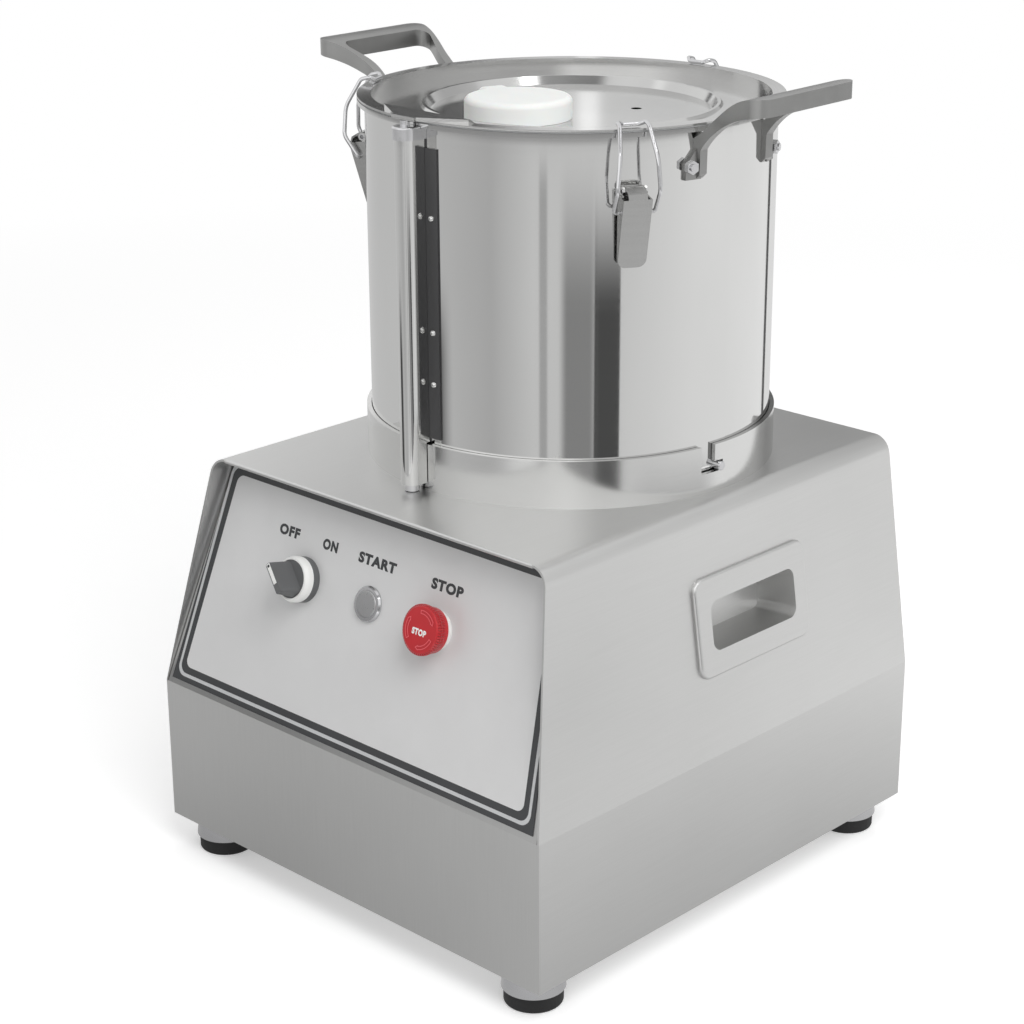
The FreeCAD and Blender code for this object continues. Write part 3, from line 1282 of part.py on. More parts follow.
def motor_bearings():
    """Ball bearings, drawn as plain rings with a shallow groove each side."""
    rings = []
    for low in (MOTOR_HIGH + 5, MOTOR_LOW - 17):
        ring = tube(BEARING_R - 0.02, SHAFT_R + 0.05, low, low + BEARING_H)
        groove = tube(BEARING_R - 4, SHAFT_R + 4, low + BEARING_H - 1, low + BEARING_H + 1)
        rings.append(ring.cut(groove))
    return on_bowl(group(rings))


def stator_core():
    """Laminated stator pack in the motor's body."""
    return on_bowl(tube(MOTOR_R - MOTOR_WALL, ROTOR_R + AIR_GAP, CORE_LOW, CORE_HIGH))


def stator_windings():
    """Winding heads at both ends of the stator pack."""
    outer, inner = MOTOR_R - 8, ROTOR_R + 8.4
    heads = []
    for low in (CORE_HIGH, CORE_LOW - WINDING_H):
        head = tube(outer, inner, low, low + WINDING_H)
        circles = [e for e in head.Edges if e.Length > inner]
        heads.append(head.makeFillet(WINDING_ROUND, circles))
    return on_bowl(group(heads))


def fan_cowl():
    """Sheet cover round the cooling fan, open below."""
    high = MOTOR_LOW - 6
    low = SHAFT_LOW - 8
    skirt = tube(MOTOR_R, MOTOR_R - COWL_T, low, high)
    floor = tube(MOTOR_R, COWL_INTAKE_R, low, low + COWL_T)
    return on_bowl(fuse_all([skirt, floor]))


def motor_shaft():
    """Shaft from the fan up through the bowl's middle tube, threaded at its top."""
    shaft = disc(SHAFT_R, SHAFT_LOW, SHAFT_TOP)
    thread = disc(SHAFT_R - THREAD_STEP, SHAFT_TOP - 1, SHAFT_TOP + THREAD_H)
    ends = [e for e in shaft.Edges if e.CenterOfMass.z < SHAFT_LOW + 0.1]
    return on_bowl(fuse_all([shaft.makeChamfer(1.5, ends), thread]))


def rotor_core():
    """Rotor pack with its end rings on the shaft."""
    core = tube(ROTOR_R, SHAFT_R, CORE_LOW, CORE_HIGH)
    rings = [tube(ROTOR_R - 4, SHAFT_R + 14, low, low + 8) for low in (CORE_LOW - 8, CORE_HIGH)]
    return on_bowl(fuse_all([core] + rings))


def cooling_fan():
    """Plastic fan with straight blades on the shaft's lower end."""
    low = SHAFT_LOW + 6
    hub = tube(SHAFT_R + 8, SHAFT_R, low, low + FAN_H)
    plate = tube(FAN_R, SHAFT_R + 7, low + FAN_H - 2, low + FAN_H)
    vane = box(SHAFT_R + 7, FAN_R - 2, -1, 1, low, low + FAN_H - 1)
    return on_bowl(fuse_all([hub, plate] + around(vane, FAN_VANES)))


def blade_hub():
    """Sleeve that drops over the bowl's middle tube and carries the blades."""
    low = BLADE_LOW_Z - 4
    sleeve = spun([
        (HUB_BORE, low), (HUB_R + HUB_FLANGE, low), (HUB_R + HUB_FLANGE, BLADE_LOW_Z),
        (HUB_R + 2, BLADE_LOW_Z),
        (HUB_R + 2, BLADE_HIGH_Z), (HUB_R, BLADE_HIGH_Z), (HUB_R, HUB_TOP - 8), (HUB_R - 8, HUB_TOP),
        (SHAFT_R + 0.02, HUB_TOP), (SHAFT_R + 0.02, HUB_TOP - 16), (HUB_BORE, HUB_TOP - 16),
    ])
    return on_bowl(sleeve)


def blade(z, bore, start):
    """Curved two-armed blade with a ring that fits the hub."""
    ring = disc(bore + 9, z, z + BLADE_T)
    root = bore - 4
    lead = Part.Arc(V(root, -20, z), V(BLADE_REACH * 0.62, -30, z), V(BLADE_REACH, 4, z)).toShape()
    trail = Part.Arc(V(BLADE_REACH, 4, z), V(BLADE_REACH * 0.6, -2, z), V(root, 16, z)).toShape()
    close = Part.makeLine(V(root, 16, z), V(root, -20, z))
    arm = Part.Face(Part.Wire([lead, trail, close])).extrude(V(0, 0, BLADE_T))
    arms = [on_bowl_axis(arm, half) for half in (0, 180)]
    whole = fuse_all([ring] + arms).cut(disc(bore, z - 1, z + BLADE_T + 1))
    return on_bowl(whole.common(disc(BLADE_REACH, z - 1, z + BLADE_T + 1)), start)


def blade_nut():
    """Knob nut that holds the hub down on the shaft."""
    knob = spun([
        (0, HUB_TOP), (NUT_R - 3, HUB_TOP), (NUT_R, HUB_TOP + 4), (NUT_R, HUB_TOP + NUT_KNOB_H - 6),
        (NUT_R - 5, HUB_TOP + NUT_KNOB_H), (0, HUB_TOP + NUT_KNOB_H),
    ])
    thread = disc(SHAFT_R - THREAD_STEP + 0.1, HUB_TOP - 1, SHAFT_TOP + THREAD_H + 0.2)
    groove = disc(NUT_GROOVE_R, HUB_TOP, HUB_TOP + NUT_KNOB_H + 6, NUT_R + 1)
    return on_bowl(knob.cut(thread).cut(group(around(groove, 8))))


def run_capacitor():
    """Motor capacitor standing on the base plate in its clip."""
    floor = FOOT_H + SHEET
    top = floor + CAPACITOR_H
    can = disc(CAPACITOR_R, floor, top, CAPACITOR_X, CAPACITOR_Y)
    seal = disc(CAPACITOR_R - 2, top - 1, top + 4, CAPACITOR_X, CAPACITOR_Y)
    return fuse_all([can, seal])


def contactor():
    """Contactor on its plate on the base."""
    floor = FOOT_H + SHEET
    top = floor + CONTACTOR_H
    half_w, half_d = CONTACTOR_W / 2, CONTACTOR_D / 2
    x, y = CONTACTOR_X, CONTACTOR_Y
    body = box(x - half_w, x + half_w, y - half_d, y + half_d, floor, top)
    head = box(x - half_w + 7, x + half_w - 7, y - half_d + 8, y + half_d - 8, top - 1, top + 16)
    return fuse_all([body, head])


def terminal_block():
    """Screw terminals on the base plate by the cable gland."""
    floor = FOOT_H + SHEET
    left, front = GLAND_X - TERMINAL_W / 2, TERMINAL_Y - TERMINAL_D / 2
    block = box(left, left + TERMINAL_W, front, front + TERMINAL_D, floor, floor + TERMINAL_H)
    slots = []
    for k in range(TERMINAL_SLOTS):
        x = left + 4 + 11 * k
        slots.append(box(x, x + 7, front - 4, front + TERMINAL_D + 4, floor + 14, floor + TERMINAL_H + 3))
    return block.cut(group(slots))


def write(name, shape):
    shape.exportStep(os.path.join("parts", name + ".step"))


def pieces():
    """Every node's name with its shape."""
    yield "housing_shell", housing_shell()
    yield "front_panel", front_panel()
    yield "panel_overlay", panel_overlay()
    yield "rear_cover", rear_cover()
    yield "base_plate", base_plate()
    yield "foot_cups", at_feet(foot_cup())
    yield "rubber_feet", at_feet(rubber_foot())
    yield "frame_bolts", frame_bolts()
    yield "side_grips", side_grips()
    yield "bowl_seat_ring", bowl_seat_ring()
    yield "shaft_boss", shaft_boss()
    yield "shaft_seal", shaft_seal()
    yield "motor_top_bell", motor_top_bell()
    yield "motor_frame", motor_frame()
    yield "motor_bottom_bell", motor_bottom_bell()
    yield "motor_bearings", motor_bearings()
    yield "stator_core", stator_core()
    yield "stator_windings", stator_windings()
    yield "fan_cowl", fan_cowl()
    yield "run_capacitor", run_capacitor()
    yield "contactor", contactor()
    yield "terminal_block", terminal_block()
    yield "cable_gland", cable_gland()
    yield "switch_blocks", switch_blocks()
    yield "selector_collar", selector_collar()
    yield "selector_bezel", selector_bezel()
    yield "selector_knob", selector_knob()
    yield "start_button_ring", start_button_ring()
    yield "start_button_cap", start_button_cap()
    yield "estop_collar", estop_collar()
    yield "estop_stem", estop_stem()
    yield "estop_head", estop_head()
    yield "safety_plunger", safety_plunger()
    yield "motor_shaft", motor_shaft()
    yield "rotor_core", rotor_core()
    yield "cooling_fan", cooling_fan()
    yield "blade_hub", blade_hub()
    yield "lower_blade", blade(BLADE_LOW_Z, HUB_R + 2, 20.0)
    yield "upper_blade", blade(BLADE_HIGH_Z, HUB_R, 110.0)
    yield "blade_nut", blade_nut()
    yield "bowl", bowl()
    yield "bayonet_pins", bayonet_pins()
    yield "interlock_column", interlock_column()
    yield "column_cap", column_cap()
    yield "interlock_rod", interlock_rod()
    yield "interlock_spring", interlock_spring()
    yield "latch_brackets", latch_brackets()
    yield "latch_pins", latch_pins()
    yield "lid", lid()
    yield "lid_gasket", lid_gasket()
    yield "feed_cap", feed_cap()
    for name, azimuth in zip(LATCH_NAMES, LATCH_AZ):
        yield "latch_lever_" + name, on_bowl(latch_lever(), azimuth)
        yield "latch_bail_" + name, on_bowl(latch_bail(), azimuth)
    for name, azimuth in zip(("right", "left"), HANDLE_AZ):
        yield "handle_" + name, on_bowl(handle(), azimuth)
    yield "handle_bolts", handle_bolts()


def main():
    os.makedirs("parts", exist_ok=True)
    for name, shape in pieces():
        write(name, shape)


main()
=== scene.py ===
import math

import bmesh
import bpy
from mathutils import Matrix, Vector


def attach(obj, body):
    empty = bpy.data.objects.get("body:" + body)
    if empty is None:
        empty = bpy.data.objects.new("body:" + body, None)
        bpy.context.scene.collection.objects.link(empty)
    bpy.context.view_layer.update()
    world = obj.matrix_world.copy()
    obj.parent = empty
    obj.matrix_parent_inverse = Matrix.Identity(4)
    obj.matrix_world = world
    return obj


# Food cutter mixer: a polished bowl with a lid, on a brushed motor base with a slanted panel.
# Metres, +Z up, the panel faces -Y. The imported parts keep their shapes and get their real
# finishes here. The printing, the lettering and the selector's index are added on them, and a
# studio stands round them.

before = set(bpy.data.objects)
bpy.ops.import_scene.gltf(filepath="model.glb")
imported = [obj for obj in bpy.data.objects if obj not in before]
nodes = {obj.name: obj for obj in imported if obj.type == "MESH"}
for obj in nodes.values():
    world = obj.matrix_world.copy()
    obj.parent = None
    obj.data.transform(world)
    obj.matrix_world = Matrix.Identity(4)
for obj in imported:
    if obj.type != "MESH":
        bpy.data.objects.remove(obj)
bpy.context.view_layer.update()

MM = 0.001
MERGE_DISTANCE = 1e-5

# The bowl's axis stands at this Y, and the column's strip ends at this radius from it
BOWL_Y = 0.0329
STRIP_EDGE_R = 0.14075

# The leaning panel: its foot at the bend, and its slope as depth per height
BEND_Z = 0.1315
PANEL_FOOT_Y = -0.195
PANEL_LEAN = 0.325
PANEL_SLOPE = math.hypot(1.0, PANEL_LEAN)
OVERLAY_T = 0.6 * MM
PRINT_T = 0.06 * MM

# The three controls stand in a row at this height
CONTROL_Z = 0.23136
SELECTOR_X, START_X, STOP_X = -0.066, -0.001, 0.064

# Camera found from the edges of the photograph
CAMERA_AT = (1.07134, -1.13579, 0.82018)
CAMERA_YAW = 44.01
CAMERA_PITCH = -19.94
CAMERA_ROLL = -0.31
CAMERA_LENS = 82.57
CAMERA_SENSOR = 36.0


def set_camera():
    yaw, pitch, roll = (math.radians(a) for a in (CAMERA_YAW, CAMERA_PITCH, CAMERA_ROLL))
    ahead = Vector((-math.sin(yaw) * math.cos(pitch), math.cos(yaw) * math.cos(pitch),
                    math.sin(pitch)))
    right = Vector((math.cos(yaw), math.sin(yaw), 0))
    up = right.cross(ahead)
    across = right * math.cos(roll) + up * math.sin(roll)
    above = up * math.cos(roll) - right * math.sin(roll)
    data = bpy.data.cameras.new("camera")
    data.lens = CAMERA_LENS
    data.sensor_width = CAMERA_SENSOR
    camera = bpy.data.objects.new("camera", data)
    bpy.context.scene.collection.objects.link(camera)
    place = Matrix((across, above, -ahead)).transposed().to_4x4()
    place.translation = Vector(CAMERA_AT)
    camera.matrix_world = place
    bpy.context.scene.camera = camera


def panel_place(x, z, lift):
    """The matrix that takes a flat drawing, in X and Y, onto the leaning panel at that height."""
    up = Vector((0, PANEL_LEAN, 1)) / PANEL_SLOPE
    out = Vector((0, -1, PANEL_LEAN)) / PANEL_SLOPE
    place = Matrix((Vector((1, 0, 0)), up, out)).transposed().to_4x4()
    place.translation = Vector((x, PANEL_FOOT_Y + PANEL_LEAN * (z - BEND_Z), z)) + out * lift
    return place


def control_place(x, lift):
    return panel_place(x, CONTROL_Z, lift)


# ---- What the finishes are made with

def linear(code):
    """An sRGB hex colour as the linear one that shaders use."""
    out = []
    for k in (1, 3, 5):
        c = int(code[k:k + 2], 16) / 255
        out.append(c / 12.92 if c <= 0.04045 else ((c + 0.055) / 1.055) ** 2.4)
    return (*out, 1.0)


def add(tree, kind, sockets=None, **settings):
    """Adds a node. Each socket takes a value, or another node's output to link."""
    made = tree.nodes.new(kind)
    for name, value in settings.items():
        setattr(made, name, value)
    for key, value in (sockets or {}).items():
        if isinstance(value, bpy.types.NodeSocket):
            tree.links.new(value, made.inputs[key])
        else:
            made.inputs[key].default_value = value
    return made


def new_material(name, colour, roughness, **values):
    """A material whose plain values sit on its shader's own sockets."""
    material = bpy.data.materials.new(name)
    material.use_nodes = True
    tree = material.node_tree
    shader = tree.nodes["Principled BSDF"]
    shader.inputs["Base Color"].default_value = linear(colour)
    shader.inputs["Roughness"].default_value = roughness
    for key, value in values.items():
        shader.inputs[key.replace("_", " ").title()].default_value = value
    return material, tree, shader


def local(tree, scale, centre=(0, 0, 0)):
    """Object coordinates about a centre, stretched by a scale in cycles per metre."""
    coords = add(tree, "ShaderNodeTexCoord")
    moved = add(tree, "ShaderNodeVectorMath", {0: coords.outputs["Object"], 1: centre},
                operation="SUBTRACT")
    return add(tree, "ShaderNodeVectorMath", {0: moved.outputs[0], 1: scale},
               operation="MULTIPLY").outputs[0]


def distance_out(tree, centre=(0, 0, 0)):
    """How far a point is from the upright axis through a centre."""
    return add(tree, "ShaderNodeVectorMath", {0: local(tree, (1, 1, 0), centre)},
               operation="LENGTH").outputs["Value"]


def height_up(tree):
    """A point's height above the floor."""
    return add(tree, "ShaderNodeSeparateXYZ", {0: local(tree, (1, 1, 1))}).outputs["Z"]


def tinted(tree, shader, value, dark, light):
    """Colours the shader between two hex colours by a 0 to 1 pattern."""
    mix = add(tree, "ShaderNodeMix", {"Factor": value, 6: linear(dark), 7: linear(light)},
              data_type="RGBA")
    tree.links.new(mix.outputs[2], shader.inputs["Base Color"])


def roughened(tree, shader, value, rough):
    """Varies the shader's roughness between two values by a 0 to 1 pattern."""
    level = add(tree, "ShaderNodeMapRange", {"Value": value, "To Min": rough[0],
                                             "To Max": rough[1]})
    tree.links.new(level.outputs["Result"], shader.inputs["Roughness"])


def bumped(tree, shader, value, depth):
    """Raises the surface by a pattern, as high as a depth in metres."""
    bump = add(tree, "ShaderNodeBump", {"Height": value, "Distance": depth})
    tree.links.new(bump.outputs["Normal"], shader.inputs["Normal"])


# Soft patches of tone and roughness, in cycles per metre along X, Y and Z
SHEET_PATCHES = (9, 9, 9)
BUFFED_PATCHES = (14, 14, 5)
TURNED_PATCHES = (20, 20, 20)
GRAINED_PATCHES = (40, 40, 40)
# Buffing lines 2.5 mm apart, and lathe lines 0.7 mm apart: both coarser than real, so they show
BUFFED_LINES = (6, 6, 400)
TURNED_LINES = 1400.0
# Wave scales that repeat every 2.0 mm and every 2.2 mm
PLATE_BANDS = 160.0
WIRE_ROWS = 140.0


def brushed_sheet(name, dark, light, rough, grain, depth):
    """Stainless sheet rubbed with abrasive belts: fine straight lines, and soft cloudy patches
    from the hand. The grain is in lines per metre. The real grit leaves lines about 0.1 mm
    apart, drawn here at about 1 mm so that they show."""
    material, tree, shader = new_material(name, light, rough[0], metallic=1.0)
    lines = add(tree, "ShaderNodeTexNoise", {"Vector": local(tree, grain), "Scale": 1.0,
                                             "Detail": 3.0, "Roughness": 0.6})
    patches = add(tree, "ShaderNodeTexNoise", {"Vector": local(tree, SHEET_PATCHES), "Scale": 1.0,
                                               "Detail": 2.0})
    both = add(tree, "ShaderNodeMath", {0: lines.outputs["Fac"], 1: patches.outputs["Fac"]},
               operation="ADD")
    half = add(tree, "ShaderNodeMath", {0: both.outputs[0], 1: 0.5}, operation="MULTIPLY")
    tinted(tree, shader, half.outputs[0], dark, light)
    roughened(tree, shader, half.outputs[0], rough)
    bumped(tree, shader, lines.outputs["Fac"], depth)
    return material


def polished_steel(name, dark, light, rough, centre_y=0.0):
    """Stainless polished on a wheel: clear reflections, with faint buffing lines round an axis."""
    material, tree, shader = new_material(name, light, rough[0], metallic=1.0)
    lines = add(tree, "ShaderNodeTexNoise", {"Vector": local(tree, BUFFED_LINES, (0, centre_y, 0)),
                                             "Scale": 1.0, "Detail": 2.0})
    patches = add(tree, "ShaderNodeTexNoise", {"Vector": local(tree, BUFFED_PATCHES), "Scale": 1.0,
                                               "Detail": 3.0})
    tinted(tree, shader, patches.outputs["Fac"], dark, light)
    roughened(tree, shader, lines.outputs["Fac"], rough)
    return material


def strip_painted_shade(material, edge_r, dark, rough):
    """Painted shade: gives the strip that lies on the bowl's wall, inside edge_r from its axis, a
    dull face whose colour is darkened to stand in for the shade and dark reflection it sits in."""
    tree = material.node_tree
    shader = tree.nodes["Principled BSDF"]
    inside = add(tree, "ShaderNodeMath", {0: distance_out(tree, (0, BOWL_Y, 0)), 1: edge_r},
                 operation="LESS_THAN").outputs[0]
    for socket, value in (("Base Color", linear(dark)), ("Roughness", (rough, rough, rough, 1.0))):
        before = shader.inputs[socket].links[0].from_socket
        mix = add(tree, "ShaderNodeMix", {"Factor": inside, 6: before, 7: value}, data_type="RGBA")
        tree.links.new(mix.outputs[2], shader.inputs[socket])
    return material


def turned_steel(name, dark, light, rough, depth):
    """Stainless spun on a lathe and rubbed while it turned: lines in rings round the bowl's
    axis."""
    material, tree, shader = new_material(name, light, rough[0], metallic=1.0)
    across = add(tree, "ShaderNodeMath", {0: distance_out(tree, (0, BOWL_Y, 0)),
                                          1: height_up(tree)}, operation="ADD")
    rings = add(tree, "ShaderNodeTexNoise", {"W": across.outputs[0], "Scale": TURNED_LINES,
                                             "Detail": 2.0}, noise_dimensions="1D")
    patches = add(tree, "ShaderNodeTexNoise", {"Vector": local(tree, TURNED_PATCHES), "Scale": 1.0,
                                               "Detail": 2.0})
    tinted(tree, shader, patches.outputs["Fac"], dark, light)
    roughened(tree, shader, rings.outputs["Fac"], rough)
    bumped(tree, shader, rings.outputs["Fac"], depth)
    return material


def grained(name, dark, light, rough, grit, depth, metallic=0.0, **values):
    """A surface with a fine even grain: cast or plated metal, moulded plastic, rubber or ink.
    Grit is in grains per metre."""
    material, tree, shader = new_material(name, light, rough[0], metallic=metallic, **values)
    grain = add(tree, "ShaderNodeTexNoise", {"Vector": local(tree, (grit, grit, grit)),
                                             "Scale": 1.0, "Detail": 4.0})
    patches = add(tree, "ShaderNodeTexNoise", {"Vector": local(tree, GRAINED_PATCHES),
                                               "Scale": 1.0, "Detail": 2.0})
    tinted(tree, shader, patches.outputs["Fac"], dark, light)
    roughened(tree, shader, grain.outputs["Fac"], rough)
    bumped(tree, shader, grain.outputs["Fac"], depth)
    return material


def ribbed(material, place, inner_r, ribs, depth):
    """Adds grip ribs round a knob's skirt, outside inner_r from the axis that runs through
    place along its third direction."""
    tree = material.node_tree
    shader = tree.nodes["Principled BSDF"]
    out, up = place.col[2].xyz, place.col[1].xyz
    point = local(tree, (1, 1, 1), place.translation)
    across = add(tree, "ShaderNodeVectorMath", {0: point, 1: up.cross(out)},
                 operation="DOT_PRODUCT").outputs["Value"]
    above = add(tree, "ShaderNodeVectorMath", {0: point, 1: up},
                operation="DOT_PRODUCT").outputs["Value"]
    turn = add(tree, "ShaderNodeMath", {0: above, 1: across}, operation="ARCTAN2")
    phase = add(tree, "ShaderNodeMath", {0: turn.outputs[0], 1: float(ribs)}, operation="MULTIPLY")
    wave = add(tree, "ShaderNodeMath", {0: phase.outputs[0]}, operation="SINE")
    flat = add(tree, "ShaderNodeCombineXYZ", {0: across, 1: above})
    radius = add(tree, "ShaderNodeVectorMath", {0: flat.outputs[0]}, operation="LENGTH")
    skirt = add(tree, "ShaderNodeMath", {0: radius.outputs["Value"], 1: inner_r},
                operation="GREATER_THAN")
    ridge = add(tree, "ShaderNodeMath", {0: wave.outputs[0], 1: skirt.outputs[0]},
                operation="MULTIPLY")
    bumped(tree, shader, ridge.outputs[0], depth)
    return material


def laminated(name, dark, light):
    """Stacked electrical sheet: edges of 0.5 mm plates, drawn as dark and light bands of 1 mm."""
    material, tree, shader = new_material(name, light, 0.5, metallic=1.0)
    wave = add(tree, "ShaderNodeTexWave", {"Vector": local(tree, (0, 0, 1)), "Scale": PLATE_BANDS},
               bands_direction="Z")
    tinted(tree, shader, wave.outputs["Fac"], dark, light)
    bumped(tree, shader, wave.outputs["Fac"], 0.2 * MM)
    return material


def wound_copper(name, dark, light):
    """Enamelled copper wire in a bundled winding under clear varnish: 1 mm wire, drawn in rows
    about 2 mm apart."""
    material, tree, shader = new_material(name, light, 0.3, metallic=1.0, coat_weight=0.4,
                                          coat_roughness=0.15)
    wave = add(tree, "ShaderNodeTexWave", {"Vector": local(tree, (1, 1, 1)), "Scale": WIRE_ROWS,
                                           "Distortion": 2.0},
               wave_type="RINGS", rings_direction="Z")
    tinted(tree, shader, wave.outputs["Fac"], dark, light)
    bumped(tree, shader, wave.outputs["Fac"], 0.4 * MM)
    return material


# ---- Finishes. Each has its two sRGB colours and two roughnesses, and its bump's depth in metres

# Folded shell: belt brushed front to back, so its lines run along Y and blur what it reflects
shell_steel = brushed_sheet("brushed_stainless_shell", "#C6C6C5", "#D4D4D3", rough=(0.30, 0.40),
                            grain=(900, 20, 900), depth=4e-6)
# Panel and apron: one sheet, brushed upwards
panel_steel = brushed_sheet("brushed_stainless_panel", "#C2C2C1", "#D0D0CF", rough=(0.32, 0.42),
                            grain=(900, 20, 20), depth=4e-6)
# Seat ring: rolled strip with the grain round it, half bright
ring_steel = brushed_sheet("brushed_stainless_ring", "#CFCFCE", "#DCDCDB", rough=(0.13, 0.20),
                           grain=(16, 16, 1500), depth=4e-6)
# Bowl: mirror polished, so it shows sharp upright bands of the studio
bowl_steel = polished_steel("polished_stainless_bowl", "#CFCFCE", "#DCDCDB", rough=(0.03, 0.09),
                            centre_y=BOWL_Y)
# Column: polished tube on a dull strip between its rivets, whose dark colour is painted shade and
# painted dark reflection
column_steel = polished_steel("polished_stainless_column", "#CDCDCC", "#DADAD9",
                              rough=(0.05, 0.12))
column_steel = strip_painted_shade(column_steel, STRIP_EDGE_R, "#5C5C5D", rough=0.36)
# Latch brackets and blade hub: pressed or turned, then quickly buffed to a soft shine
latch_steel = polished_steel("polished_stainless_latch", "#C4C4C3", "#D1D1D0", rough=(0.10, 0.20))
# Latch levers: pressed and tumbled, so duller and darker than the bowl
lever_steel = polished_steel("tumbled_stainless_lever", "#9A9A99", "#A8A8A7", rough=(0.20, 0.30))
# Lid: spun on a lathe, so its shine is drawn out across fine rings
lid_steel = turned_steel("turned_stainless_lid", "#BEBEBD", "#CDCDCC", rough=(0.07, 0.20),
                         depth=3e-6)
# Handles: cast and blasted, a grey satin with no clear reflection
cast_steel = grained("cast_stainless_satin", "#8B8B8A", "#9E9E9D", rough=(0.26, 0.40), grit=1800,
                     depth=2e-5, metallic=1.0)
# Bolts, bails, rods and cups: bright zinc or nickel plate, with a slight haze
plated = grained("bright_plated_steel", "#C4C4C6", "#D2D2D3", rough=(0.10, 0.22), grit=900,
                 depth=4e-6, metallic=1.0)
# Blades, shafts and the start button's cap: ground steel, with short fine scratches
ground = brushed_sheet("ground_steel", "#B4B4B5", "#C6C6C7", rough=(0.22, 0.34),
                       grain=(1200, 1200, 60), depth=4e-6)
# Motor's body: sand cast aluminium, matt and slightly pitted
aluminium = grained("cast_aluminium", "#A2A3A5", "#B4B5B7", rough=(0.45, 0.65), grit=900,
                    depth=1e-4, metallic=1.0)
plate_stack = laminated("laminated_steel", "#4A4A4B", "#7C7C7E")
copper = wound_copper("enamelled_copper", "#8E4A22", "#C9783F")
# Overlay: charcoal ink on the back of a plastic sheet, smooth and half matt
overlay_ink = grained("screen_printed_charcoal", "#3A3B3D", "#434446", rough=(0.38, 0.50),
                      grit=2500, depth=4e-6)
# Moulded plastics: a fine spark-eroded texture, which makes their shine soft
white_plastic = grained("moulded_white_abs", "#EDEDEB", "#F4F4F2", rough=(0.36, 0.48), grit=1500,
                        depth=1e-5)
black_plastic = grained("moulded_black_nylon", "#3A3A3B", "#444445", rough=(0.38, 0.55),
                        grit=1800, depth=2e-5)
collar_plastic = grained("moulded_charcoal_nylon", "#5A5B5C", "#68696A", rough=(0.40, 0.55),
                         grit=1800, depth=2e-5)
grey_plastic = grained("moulded_grey_abs", "#5A5C5E", "#66686A", rough=(0.40, 0.55), grit=1500,
                       depth=2e-5)
# Stop button's head: glossy red, with 56 grip ribs round its skirt
STOP_SKIRT_R = 15.6 * MM
red_plastic = grained("moulded_red_abs", "#BE1620", "#C81C26", rough=(0.26, 0.34), grit=900,
                      depth=6e-6, coat_weight=0.1, coat_roughness=0.1)
red_plastic = ribbed(red_plastic, control_place(STOP_X, 0.0), STOP_SKIRT_R, ribs=56, depth=4e-4)
# Rubbers: dull, with the grain of the mould
black_rubber = grained("nitrile_rubber", "#161617", "#222223", rough=(0.55, 0.75), grit=1400,
                       depth=5e-5)
grey_rubber = grained("silicone_rubber", "#8B8C8C", "#989999", rough=(0.50, 0.65), grit=1200,
                      depth=2e-5)
# Feed cap: waxy polyethylene that light enters a little
cap_plastic = grained("moulded_white_polyethylene", "#EFEFED", "#F5F5F3", rough=(0.42, 0.55),
                      grit=1200, depth=1e-5, subsurface_weight=0.1)

finishes = {
    shell_steel: ["housing_shell", "side_grips"],
    panel_steel: ["front_panel", "rear_cover", "base_plate"],
    ring_steel: ["bowl_seat_ring"],
    bowl_steel: ["bowl"],
    column_steel: ["interlock_column"],
    latch_steel: ["latch_brackets", "blade_hub"],
    lever_steel: ["latch_lever_front", "latch_lever_left", "latch_lever_rear"],
    lid_steel: ["lid"],
    cast_steel: ["handle_right", "handle_left"],
    plated: ["foot_cups", "frame_bolts", "fan_cowl", "start_button_ring", "safety_plunger",
             "bayonet_pins", "column_cap", "interlock_rod", "latch_pins", "handle_bolts",
             "latch_bail_front", "latch_bail_left", "latch_bail_rear"],
    ground: ["shaft_boss", "motor_bearings", "start_button_cap", "motor_shaft", "lower_blade",
             "upper_blade", "interlock_spring"],
    aluminium: ["motor_top_bell", "motor_frame", "motor_bottom_bell"],
    plate_stack: ["stator_core", "rotor_core"],
    copper: ["stator_windings"],
    overlay_ink: ["panel_overlay"],
    white_plastic: ["selector_bezel", "estop_collar", "terminal_block"],
    cap_plastic: ["feed_cap"],
    black_plastic: ["contactor", "cable_gland", "cooling_fan", "blade_nut"],
    collar_plastic: ["selector_collar", "selector_knob"],
    grey_plastic: ["run_capacitor", "switch_blocks", "estop_stem"],
    red_plastic: ["estop_head"],
    black_rubber: ["rubber_feet", "shaft_seal"],
    grey_rubber: ["lid_gasket"],
}
for material, names in finishes.items():
    for name in names:
        for slot in nodes[name].material_slots:
            slot.material = material

# Printed inks: smooth and half matt
field_ink = grained("screen_printed_pale_grey", "#D9D9D9", "#DFDFDF", rough=(0.34, 0.44),
                    grit=2500, depth=3e-6)
line_ink = grained("screen_printed_light_line", "#C4C5C6", "#CFD0D1", rough=(0.36, 0.46),
                   grit=2500, depth=3e-6)
arrow_ink = grained("pad_printed_light_red", "#E8606A", "#EE6E76", rough=(0.36, 0.46), grit=2500,
                    depth=3e-6)
white_ink = grained("pad_printed_white", "#F2F2F0", "#F8F8F6", rough=(0.38, 0.48), grit=2500,
                    depth=3e-6)
letter_ink = grained("screen_printed_letters", "#2F3032", "#38393B", rough=(0.42, 0.52),
                     grit=2500, depth=3e-6)


# ---- Pieces that the scene adds

def scene_object(name, shape, material):
    """Makes a bmesh an object in the scene, with one material."""
    mesh = bpy.data.meshes.new(name)
    shape.to_mesh(mesh)
    shape.free()
    mesh.materials.append(material)
    made = bpy.data.objects.new(name, mesh)
    bpy.context.scene.collection.objects.link(made)
    return made


def finish_piece(name, shape, material, body, place):
    """Turns a bmesh into a piece with its place in its mesh, one finish and one body."""
    bmesh.ops.transform(shape, matrix=place, verts=shape.verts)
    piece = scene_object(name, shape, material)
    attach(piece, body)


